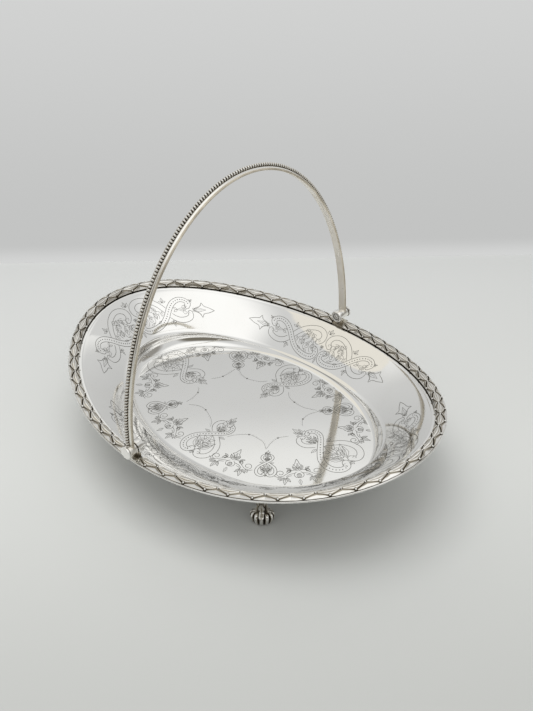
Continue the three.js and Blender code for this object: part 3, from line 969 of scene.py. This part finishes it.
def lozenge(x, y, angle, length, width):
    # open four-pointed leaf with hollow sides
    c, s = math.cos(math.radians(angle)), math.sin(math.radians(angle))

    def at(along, aside):
        return (x + along * length * c - aside * width * s, y + along * length * s + aside * width * c)

    art, bold = leaf(x, y, angle, length * 0.62, width * 0.24), engraving["outline"]
    for side, far in ((1, 0.46), (-1, 0.4)):
        tip = at(far, 0.5 * side)
        art += cut(at(0, 0), at(0.2, 0.16 * side), at(far - 0.1, 0.24 * side), tip, size=bold)
        art += cut(tip, at(far + 0.1, 0.26 * side), at(0.74, 0.17 * side), at(1, 0), size=bold)
        art += cut(at(0.16, 0.03 * side), at(far - 0.02, 0.34 * side))
    return art


def mirrored(art):
    return art + [(size, [(-x, y) for x, y in points]) for size, points in art]


def moved(art, x, y, angle, scale=1.0, stretch=1.0):
    c, s = math.cos(math.radians(angle)), math.sin(math.radians(angle))
    return [(size, [(x + (px * stretch * c - py * s) * scale, y + (px * stretch * s + py * c) * scale)
                    for px, py in points]) for size, points in art]


def strap(points, width, endWidth, over=None, dots=True):
    # two cuts with rounded ends and a row of dots between them, hidden under the strap `over`
    centre = smoothLine(points)
    count = len(centre) - 1
    reaches = [lerp(width, endWidth, i / count) / 2 for i in range(count + 1)]
    left, right, ends = [], [], []
    for i, ((x, y), reach) in enumerate(zip(centre, reaches)):
        (ax, ay), (bx, by) = centre[max(0, i - 1)], centre[min(count, i + 1)]
        across = math.atan2(by - ay, bx - ax) + math.pi / 2
        left.append((x + reach * math.cos(across), y + reach * math.sin(across)))
        right.append((x - reach * math.cos(across), y - reach * math.sin(across)))
        if i in (0, count):
            start = across if i else across + math.pi
            ends.append([(x + reach * math.cos(start - math.pi * k / 8), y + reach * math.sin(start - math.pi * k / 8))
                         for k in range(9)])

    def hidden(p):
        return (over and any(math.dist(p, q) < width * 0.5 for q in over)
                or any(math.dist(p, q) < reach * 0.92 for q, reach in zip(centre, reaches)))

    art, run = [], []
    for point in left + ends[1] + right[::-1] + ends[0] + [None]:
        if point and not hidden(point):
            run.append(point)
            continue
        if len(run) > 2:
            art.append((engraving["outline"], run))
        run = []
    travelled = 0.0
    for i in range(2, count - 2):
        travelled += math.dist(centre[i], centre[i - 1])
        if dots and travelled > engraving["dotPitch"] and not (over and hidden(centre[i])):
            art += dot(*centre[i])
            travelled = 0.0
    return art, centre


def palmette(x, y, size, spread=1.0):
    # leaves that fan out upwards from x, y, in mirrored pairs
    half = many(leaf, [(x, y + size * 0.1, 90 - 27 * spread, size * 0.66, size * 0.19, -18),
                       (x, y + size * 0.02, 90 - 56 * spread, size * 0.6, size * 0.18, 40),
                       (x, y + size * 0.58, 90 - 34 * spread, size * 0.3, size * 0.11, -30, False)])
    half += many(curl, [(x, y, 90 - 74 * spread, size * 0.15, 1, 1.1),
                        (x, y + size * 0.42, 90 - 30 * spread, size * 0.12, -1, 0.9)])
    return leaf(0, y + size * 0.3, 90, size * 0.66, size * 0.2) + mirrored(half)


def strapMotif(scale=1.0, width=4.9, endWidth=3.3, dots=True):
    # two straps interlaced: a wide loop below, a small one above, from the crossing at 0, 0
    path = [(-x * scale, y * scale) for x, y in (
        (2.7, -23.0), (4.9, -25.8), (8.7, -25.4), (12.1, -21.6), (12.9, -16), (10.6, -9.6), (5.6, -4.4), (0, 0.2),
        (-4.4, 3.8), (-7.1, 7.6), (-7.0, 11.8), (-4.5, 14.4), (-2.1, 13.5))]
    top, centre = strap(path, width, endWidth, dots=dots)
    crossing = [p for p in centre if math.dist(p, (0, 0)) < 6 * scale]
    under, _ = strap([(-x, y) for x, y in path], width, endWidth, crossing, dots)
    half = many(leaf, [(4.6, -1.2, 20, 5.4, 2.2, -25, dots), (0, 16.2, 52, 5.8, 2.1, 25, dots),
                       (0, 15.6, 12, 4.4, 1.8, 25, False), (0, -24.8, -40, 3, 1.4, 0, False)], scale)
    half += many(curl, [(3.2, -16, 40, 2.5, 1, 1.2), (2.2, -9.5, 40, 1.6, -1)], scale)
    half += curl(3.4 * scale, -23.6 * scale, 60, width * 0.3, -1, 0.9)
    half += curl(2.4 * scale, 13.4 * scale, -60, endWidth * 0.3, 1, 0.9)
    return (top + under + mirrored(half)
            + many(leaf, [(0, 16, 90, 8.6, 2.8, 0, dots), (0, -24.2, -90, 3.8, 2, 0, False)], scale)
            + palmette(1.2 * scale, -20.6 * scale, 19 * scale) + palmette(0.4 * scale, 3.2 * scale, 9.4 * scale, 0.9))


def sprayMotif():
    # branching scroll with an open leaf that points inwards
    half = (cut((0, 1.4), (3.4, 2.4), (7.6, -0.4), (10.8, -2.8)) + cut((4.6, -2.6), (7.4, -3.4), (9.6, -5.6))
            + cut((2.2, -0.6), (6, -1.4), (8.8, -3.4)) + cut((10.8, -2.8), (13.4, -3.6), (16.4, -1.6)))
    half += many(curl, [(10.8, -2.8, -14, 3.2, 1, 1.25), (1.2, 0.4, -20, 3.1, -1, 1.2), (7.2, -0.2, 44, 1.7, 1, 1.0),
                        (4.6, 2.2, 70, 1.5, -1, 1.0)])
    half += many(leaf, [(8.6, -4.6, -64, 6.6, 2.5, -20), (8.2, -4.2, -100, 4.8, 1.9, -30),
                        (9.6, -4.2, -24, 4.6, 1.8, -20), (4.6, 2.0, 62, 4.2, 1.7, -40),
                        (1.0, 2.6, 40, 4.4, 1.7, 30), (12.6, -3.4, -50, 2.8, 1.2, 0, False)])
    half = [(engraving["outline"] * 0.92, points) for _, points in half]
    return (mirrored(half) + lozenge(0, 2.4, 90, 10.6, 6.2)
            + many(leaf, [(0, -6.6, -90, 5.4, 2.2), (0, -1, -90, 3.6, 1.6)]))


def garland(points, beads):
    art = cut(*points, size=engraving["faint"])
    line = smoothLine(points)
    for (x, y), (ax, ay) in list(zip(line, line[1:]))[2:-2:2]:
        away = math.hypot(ax - x, ay - y)
        art += dot(x - (ay - y) / away * 0.95, y + (ax - x) / away * 0.95, 0.15)
    for x, y in beads:
        art += dot(x, y, 0.8)
    return art


def floorArt():
    art = []
    for motif, name in ((strapMotif(), "straps"), (strapMotif(1, 4.7, 3.2), "endStraps"),
                        (strapMotif(0.54, 2.3, 1.7, False), "smallStraps")):
        for place in engraving[name]:
            art += moved(motif, *place)
    spray = sprayMotif()
    for place in engraving["sprays"]:
        art += moved(spray, *place, engraving["sprayScale"])
    for points, beads in engraving["garlands"]:
        art += garland(points, beads)
    return art


def wallArt():
    # one panel of interlaced straps along the wall; x along, y up, in millimetres
    low = [(49.4, 21.8), (50.8, 24.8), (47.8, 27.7), (43.2, 28), (38.2, 25.2), (33.6, 19.8), (29.2, 13.6),
           (23.8, 8.7), (17, 6.1), (9.6, 5.4), (4.3, 7.0), (3.0, 11.0), (5.2, 13.6)]
    high = [(6.0, 20.4), (3.3, 23.4), (4.0, 28.4), (8, 31.7), (13.2, 32), (19.6, 29.2), (25.4, 24.2), (30.2, 18),
            (34.6, 12.9), (40, 10.1), (46, 10.2), (50.8, 12.6), (51.2, 15.8)]
    half, centre = strap(low, 4.4, 4.6)
    half += strap(high, 4.7, 4.3, [p for p in centre if math.dist(p, (31, 17)) < 6.5])[0]
    half += many(curl, [
        # at the straps' ends
        (5.8, 20.4, 180, 1.4, -1, 0.9), (5, 13.4, 60, 1.4, -1, 0.9), (49.6, 22.4, -100, 1.2, -1, 0.9),
        (51, 15.6, 100, 1.2, 1, 0.9),
        # rolled stems that fill the wide loop
        (8.2, 9.2, 20, 4.2, 1, 1.3), (14.6, 9.4, 10, 3.6, 1, 1.2), (21.4, 12.6, 40, 3.0, 1, 1.2),
        (10.4, 17.4, 20, 3.2, 1, 1.3), (17.6, 17.4, 10, 3.2, 1, 1.3), (24.4, 16, 70, 2.4, 1, 1.2),
        (9.8, 24.6, 60, 2.4, -1, 1.2), (14.8, 25.2, 60, 2.4, -1, 1.2), (19.4, 24.4, 30, 2.2, 1, 1.2),
        # inside the outer loop and between the panels
        (46, 19, 150, 2.1, -1, 1.1), (46, 18.4, 210, 2.1, 1, 1.1), (53.4, 19.4, 70, 1.5, -1, 0.9),
        (53.4, 17.8, -70, 1.5, 1, 0.9)])
    half += many(leaf, [
        # in the wide loop
        (9, 12.4, 100, 6.4, 2.4, -30), (14.6, 12.8, 96, 6.4, 2.4, 30), (19.6, 12.4, 90, 6.4, 2.2, 30),
        (11.6, 19.8, 84, 6.8, 2.4, -30), (16.4, 20.2, 90, 7, 2.4, 20), (21.6, 18.6, 110, 6.4, 2.2, 30),
        (24.8, 14, 60, 4.6, 1.6, 30, False), (12, 8.8, 10, 4, 1.5, 30, False), (18.8, 9, 10, 4.4, 1.6, 30),
        # in the outer loop, and beside the middle
        (48.4, 18.8, 180, 8.4, 2.8), (40.4, 19, 150, 4, 1.6, 0, False), (40.4, 18.6, 205, 4, 1.6, 0, False),
        (0, 31, 40, 4.4, 1.7, 25, False), (0.2, 16.9, 60, 2.6, 1.2, 0, False)])
    half += trefoil(29.8, 25.6, 84, 5.2) + trefoil(33.4, 9.6, -78, 5.0) + trefoil(52.4, 26.6, 40, 3.0)
    half += lozenge(53.6, 18.6, 4, 19.4, 13.5)
    return mirrored(half) + many(leaf, [(0, 31, 90, 5.6, 2.2), (0, 2.6, 90, 5.4, 1.8), (0, 14.4, 90, 5, 2)])


def engrave(art, name):
    # thin ribbons along every cut, and small domes for the dots, lying on z = 0 in millimetres
    curve = bpy.data.curves.new(name, "CURVE")
    curve.dimensions = "3D"
    curve.bevel_depth = 1
    curve.bevel_resolution = 0
    curve.use_fill_caps = True
    obj = bpy.data.objects.new(name, curve)
    scene.collection.objects.link(obj)
    dome, parts = ball(6, 4), [obj]
    for size, points in art:
        if len(points) == 1:
            (x, y), = points
            parts.append(copyOf(dome, "dot"))
            reshape(parts[-1], lambda co: Vector((x + co.x * size, y + co.y * size, co.z * engraving["outline"])))
            continue
        spline = curve.splines.new("POLY")
        spline.points.add(len(points) - 1)
        for point, place in zip(spline.points, points):
            point.co = (*place, 0, 1)
            point.radius = size
        spline.points[0].radius = spline.points[-1].radius = size * 0.5
    bpy.data.objects.remove(dome)
    pickOnly(obj)
    bpy.ops.object.convert(target="MESH")
    return joinAll(parts, name)


def flatten(z):
    return engraving["proud"] + z * engraving["flatness"]


def wallPoint(t, share):
    a, b, height = wallRing(share)
    return Vector((a * math.cos(t), b * math.sin(t), height(t)))


def makeWallEngraving():
    # four panels round the wall, laid out on its oval at half height
    panel = engrave(wallArt(), "wallEngraving")
    a, b, _ = wallRing(0.5)
    fine = 1440
    lengths = [0.0]
    for i in range(fine):
        t = turn * (i + 0.5) / fine
        lengths.append(lengths[-1] + turn / fine * math.hypot(a * math.sin(t), b * math.cos(t)))
    panels = []
    for quarter in range(4):
        start = lengths[fine * quarter // 4]

        def ontoWall(co):
            length = (start - co.x) % lengths[-1]
            low = min(fine, bisect_right(lengths, length)) - 1
            t = turn * (low + (length - lengths[low]) / (lengths[low + 1] - lengths[low])) / fine
            share = co.y / engraving["wallHeight"]
            point = wallPoint(t, share)
            normal = (wallPoint(t + 0.002, share) - point).cross(wallPoint(t, share + 0.004) - point).normalized()
            if normal.z < 0:
                normal.negate()
            return (point + normal * flatten(co.z)) * mm

        panels.append(copyOf(panel, "wallPanel"))
        reshape(panels[-1], ontoWall)
    bpy.data.objects.remove(panel)
    wall = joinAll(panels, "wallEngraving")
    faceOut(wall)
    return wall


floorLines = engrave(floorArt(), "floorEngraving")
reshape(floorLines, lambda co: Vector((co.x, co.y, bowl["floorHeight"] + flatten(co.z))) * mm)
engravedLines = [floorLines, makeWallEngraving()]
for piece in engravedLines:
    finishPiece(piece, 40, "basket", "sheet_silver")
print("engraving made")


def feed(tree, node, inputs):
    # what goes into each socket: a constant, or another node with its output
    for socket, value in inputs.items():
        if isinstance(value, tuple) and isinstance(value[0], bpy.types.Node):
            source, output = value
            tree.links.new(source.outputs[output], node.inputs[socket])
        else:
            node.inputs[socket].default_value = value


def addNode(tree, kind, inputs=None, **settings):
    node = tree.nodes.new("ShaderNode" + kind)
    for name, value in settings.items():
        setattr(node, name, value)
    feed(tree, node, inputs or {})
    return node


# The next four give back a node with its output, to feed into another
def maths(tree, operation, *values):
    return addNode(tree, "Math", dict(enumerate(values)), operation=operation), 0


def mapped(tree, value, ends, kind="LINEAR"):
    return addNode(tree, "MapRange", {"Value": value, **ends}, interpolation_type=kind), 0


def blend(tree, share, a, b):
    return addNode(tree, "Mix", {"Factor": share, "A": a, "B": b}, data_type="RGBA"), "Result"


def alongWay(tree, place, way):
    return addNode(tree, "VectorMath", {0: place, 1: way}, operation="DOT_PRODUCT"), "Value"


def newGroup(name, inputs, outputs):
    # a node group with its sockets by name, each as kind and usual value
    group = bpy.data.node_groups.new(name, "ShaderNodeTree")
    for way, sockets in (("INPUT", inputs), ("OUTPUT", outputs)):
        for label, (kind, value) in sockets.items():
            socket = group.interface.new_socket(name=label, in_out=way, socket_type="NodeSocket" + kind)
            if value is not None:
                socket.default_value = value
    return group, group.nodes.new("NodeGroupInput"), group.nodes.new("NodeGroupOutput")


def newMaterial(name):
    material = bpy.data.materials.new(name)
    material.use_nodes = True
    return material, material.node_tree


def makeWearGroup():
    # cloudy smudges, fine rubbing lines and the slight wave of hand-planished sheet
    tree, given, out = newGroup(
        "polishWear",
        {"Place": ("Vector", None), "Cloud Scale": ("Float", 30), "Line Scale": ("Float", 900), "Wave": ("Float", 0.5)},
        {"Smudge": ("Float", None), "Height": ("Float", None)})
    place = (given, "Place")
    cloud = (addNode(tree, "TexNoise", {"Vector": place, "Scale": (given, "Cloud Scale"), "Detail": 5,
                                        "Roughness": 0.62}), "Fac")
    # two sets of lines that cross
    crossing = []
    for angles, stretch in (((0.2, 0.1, 0.9), (1, 0.03, 0.4)), ((0.1, 0.3, -0.5), (0.03, 1, 0.4))):
        turning = addNode(tree, "Mapping", {"Vector": place, "Rotation": angles, "Scale": stretch})
        crossing.append((addNode(tree, "TexNoise", {"Vector": (turning, 0), "Scale": (given, "Line Scale"),
                                                    "Detail": 2}), "Fac"))
    height = maths(tree, "ADD", maths(tree, "MULTIPLY", cloud, (given, "Wave")), maths(tree, "MAXIMUM", *crossing))
    feed(tree, out, {"Smudge": mapped(tree, cloud, {"From Min": 0.35, "From Max": 0.68}), "Height": height})
    return tree


def makeOxideAndShadeGroup():
    # silver that goes through a warm film to nearly black where the mask is full; the mask holds oxide and, at some
    # places, painted shade
    tree, given, out = newGroup(
        "oxideAndPaintedShade",
        {"Mask": ("Float", 0), "Cloud": ("Float", 0.5), "Clean": ("Color", (0.9, 0.9, 0.9, 1)),
         "Film": ("Color", (0.4, 0.33, 0.24, 1)), "Dark": ("Color", (0.02, 0.015, 0.01, 1))},
        {"Color": ("Color", None), "Dullness": ("Float", None)})
    cloud = (given, "Cloud")
    uneven = mapped(tree, cloud, {"To Min": 0.8, "To Max": 1.25})
    broken = maths(tree, "MULTIPLY_ADD", (given, "Mask"), uneven, maths(tree, "MULTIPLY", cloud, 0.05))
    filmed = mapped(tree, broken, {"From Max": 0.5})
    film = blend(tree, filmed, (given, "Clean"), (given, "Film"))
    dark = blend(tree, mapped(tree, broken, {"From Min": 0.35}), film, (given, "Dark"))
    feed(tree, out, {"Color": dark, "Dullness": filmed})
    return tree


# tone, film and darkest tone, roughness where bright and where smudged, cloud and line scales, wave and bump
finishes = {
    "sheetSilver": ((0.93, 0.925, 0.91), (0.72, 0.69, 0.62), (0.2, 0.18, 0.15), 0.022, 0.05, 26, 1300, 2.5, 0.012),
    "castSilver": ((0.935, 0.925, 0.9), (0.5, 0.45, 0.36), (0.05, 0.04, 0.026), 0.06, 0.13, 60, 900, 1.0, 0.03),
    "handleSilver": ((0.93, 0.92, 0.895), (0.88, 0.81, 0.68), (0.09, 0.068, 0.04), 0.14, 0.2, 45, 1000, 1.0, 0.006),
    "beadSilver": ((0.93, 0.92, 0.89), (0.45, 0.38, 0.28), (0.02, 0.015, 0.01), 0.08, 0.16, 80, 900, 0.5, 0.02),
    "cutSilver": ((0.22, 0.215, 0.2), (0.1, 0.09, 0.075), (0.03, 0.025, 0.02), 0.38, 0.5, 40, 900, 0.5, 0.02),
}
wearGroup, oxideAndShadeGroup = makeWearGroup(), makeOxideAndShadeGroup()


def makeSilver(name):
    clean, filmTone, darkTone, bright, smudged, clouds, lines, waves, bumpStrength = finishes[name]
    material, tree = newMaterial(name)
    wear = addNode(tree, "Group", {"Place": (addNode(tree, "TexCoord"), "Object"), "Cloud Scale": clouds,
                                   "Line Scale": lines, "Wave": waves}, node_tree=wearGroup)
    # the mask: dark oxide in the hollows, and painted shade where a piece has it
    mask = addNode(tree, "Attribute", attribute_name="oxideAndShade")
    oxide = addNode(tree, "Group", {"Mask": (mask, "Fac"), "Cloud": (wear, "Smudge"), "Clean": (*clean, 1),
                                    "Film": (*filmTone, 1), "Dark": (*darkTone, 1)}, node_tree=oxideAndShadeGroup)
    polish = mapped(tree, (wear, "Smudge"), {"To Min": bright, "To Max": smudged})
    bump = addNode(tree, "Bump", {"Height": (wear, "Height"), "Strength": bumpStrength, "Distance": 0.0006})
    feed(tree, tree.nodes["Principled BSDF"], {
        "Metallic": 1, "Base Color": (oxide, "Color"), "Normal": (bump, 0),
        "Roughness": maths(tree, "MULTIPLY_ADD", (oxide, "Dullness"), 0.3, polish)})
    return material


def dress(obj, material):
    obj.data.materials.clear()
    obj.data.materials.append(material)


silver = {name: makeSilver(name) for name in finishes}
for finish, pieces in (("sheetSilver", [bowlSheet]), ("handleSilver", [handleStrap]), ("beadSilver", [handleBeads]),
                       ("castSilver", [rimWire, *borders, *hingePieces, *feet]), ("cutSilver", engravedLines)):
    for piece in pieces:
        dress(piece, silver[finish])
print("silver dressed")

studio = {
    # share of the way from back to front, and tone there, with painted shade that darkens the front
    "floorTones": [(0, (0.64, 0.648, 0.64, 1)), (0.5, (0.618, 0.627, 0.614, 1)), (1, (0.482, 0.49, 0.478, 1))],
    "floorSize": (6, 3),        # width, and reach towards the camera
    "floorRoughness": 0.95,
    "floorSpecular": 0.1,
    "wallHeight": 0.36,
    "wallWidth": 1.3,
    # share of the wall's height, and the tone of the painted light it glows with there
    "wallTones": [(0, (0.65, 0.655, 0.65, 1)), (0.065, (0.545, 0.55, 0.545, 1)), (1, (0.66, 0.665, 0.66, 1))],
    "glow": (0.86, 0.865, 0.85, 1),     # above the picture, mirrored by the front of the bowl's floor
    "glowFrom": 0.26,
    "glowWidth": (0.3, 0.05),
    "wallBehind": 0.3,          # from the middle of the basket, away from the camera
    "lampEnergy": 8.3,
    "lampSize": 0.9,
    "lampWay": (-140, 79),      # degrees to the right of the view and above the table
    "lampFar": 1.3,
    "room": (0.66, 0.665, 0.66, 1),
    # azimuth, elevation, radius, fade in degrees, and tone of each patch of the room
    "patches": [
        (180, 4, 20, 14, (0.18, 0.165, 0.135, 1)),
        (96, 8, 18, 14, (0.3, 0.29, 0.27, 1)),
        (-96, 8, 18, 14, (0.3, 0.29, 0.27, 1)),
        (158, 64, 24, 16, (1.06, 1.06, 1.045, 1)),
        (-50, 55, 17, 1.5, (0.83, 0.8, 0.725, 1)),
        (24, 50, 6, 8, (1.0, 1.0, 0.985, 1)),
        (-1, 51, 6, 13, (0.86, 0.865, 0.85, 1)),
    ],
}


def shades(tree, share, tones):
    # a soft ramp through the tones, which are given with their shares of its length
    node = addNode(tree, "ValToRGB", {0: share})
    ramp = node.color_ramp
    ramp.interpolation = "EASE"
    for place, _ in tones[1:-1]:
        ramp.elements.new(place)
    for stop, (_, tone) in zip(ramp.elements, tones):
        stop.color = tone
    return node, "Color"


def wallMaterial(forward):
    # a pale wall that glows with painted light, paling towards the floor and the top, and is clear from behind
    material, tree = newMaterial("paleWall")
    place = (addNode(tree, "TexCoord"), "Object")
    height = (addNode(tree, "SeparateXYZ", {0: place}), "Z")
    tone = shades(tree, mapped(tree, height, {"From Max": studio["wallHeight"]}), studio["wallTones"])
    # the glow at the top of its middle
    aside = maths(tree, "ABSOLUTE", alongWay(tree, place, (forward.y, -forward.x, 0)))
    far, near = studio["glowWidth"]
    narrow = mapped(tree, aside, {"From Min": far, "From Max": near}, "SMOOTHSTEP")
    high = mapped(tree, height, {"From Min": studio["glowFrom"], "From Max": studio["wallHeight"]}, "SMOOTHSTEP")
    glow = maths(tree, "MULTIPLY", narrow, high)
    plain = addNode(tree, "Emission", {"Color": blend(tree, glow, tone, studio["glow"])})
    whole = addNode(tree, "MixShader", {0: (addNode(tree, "NewGeometry"), "Backfacing"), 1: (plain, 0),
                                        2: (addNode(tree, "BsdfTransparent"), 0)})
    feed(tree, tree.nodes["Material Output"], {"Surface": (whole, 0)})
    return material


def floorMaterial(forward):
    # pale board, with painted shade that darkens it towards the front
    material, tree = newMaterial("paleFloor")
    along = alongWay(tree, (addNode(tree, "TexCoord"), "Object"), -forward)
    near = mapped(tree, along, {"From Min": -studio["wallBehind"], "From Max": studio["wallBehind"]})
    feed(tree, tree.nodes["Principled BSDF"], {
        "Base Color": shades(tree, near, studio["floorTones"]), "Roughness": studio["floorRoughness"],
        "Specular IOR Level": studio["floorSpecular"]})
    return material


def toward(forward, azimuth, elevation):
    # direction that lies so many degrees to the right of the view and above the table
    around, rise = math.radians(azimuth), math.radians(elevation)
    right = Vector((forward.y, -forward.x, 0))
    flat = forward * math.cos(around) + right * math.sin(around)
    return flat * math.cos(rise) + Vector((0, 0, math.sin(rise)))


def makeWorld(forward):
    # an even pale room, with soft patches that the silver mirrors
    world = bpy.data.worlds.new("studio")
    scene.world = world
    world.use_nodes = True
    tree, colour = world.node_tree, studio["room"]
    way = (addNode(tree, "TexCoord"), "Generated")
    for azimuth, elevation, radius, fade, tone in studio["patches"]:
        away = alongWay(tree, way, toward(forward, azimuth, elevation))
        edge, full = math.cos(math.radians(radius + fade)), math.cos(math.radians(radius))
        mask = mapped(tree, away, {"From Min": edge, "From Max": full}, "SMOOTHSTEP")
        colour = blend(tree, mask, colour, tone)
    # what lies past the floor stays pale when it is seen straight on
    seen = blend(tree, (addNode(tree, "LightPath"), "Is Camera Ray"), colour, studio["room"])
    feed(tree, tree.nodes["Background"], {"Color": seen})


def addBoard(name, size, tilt, location, material):
    board = newMesh(bpy.ops.mesh.primitive_plane_add, name, size=1)
    board.scale = (*size, 1)
    board.rotation_euler = (tilt, 0, math.radians(photoView["azimuth"]))
    board.location = location
    bakePlace(board)
    dress(board, material)


def makeStage():
    # a floor that ends at a wall square to the view, and the wall shows from the front only
    away = math.radians(photoView["azimuth"])
    forward = Vector((-math.sin(away), math.cos(away), 0))
    behind, height, (wide, ahead) = studio["wallBehind"], studio["wallHeight"], studio["floorSize"]
    addBoard("paleFloor", (wide, ahead + behind), 0, forward * ((behind - ahead) / 2), floorMaterial(forward))
    addBoard("paleWall", (studio["wallWidth"], height), math.pi / 2,
             forward * behind + Vector((0, 0, height / 2)), wallMaterial(forward))
    makeWorld(forward)
    bpy.ops.object.light_add(type="AREA", location=toward(forward, *studio["lampWay"]) * studio["lampFar"])
    lamp = bpy.context.object
    lamp.data.size = studio["lampSize"]
    lamp.data.energy = studio["lampEnergy"]
    lamp.visible_glossy = False     # the silver mirrors the room and its patches, not the lamp


makeStage()
print("stage made")
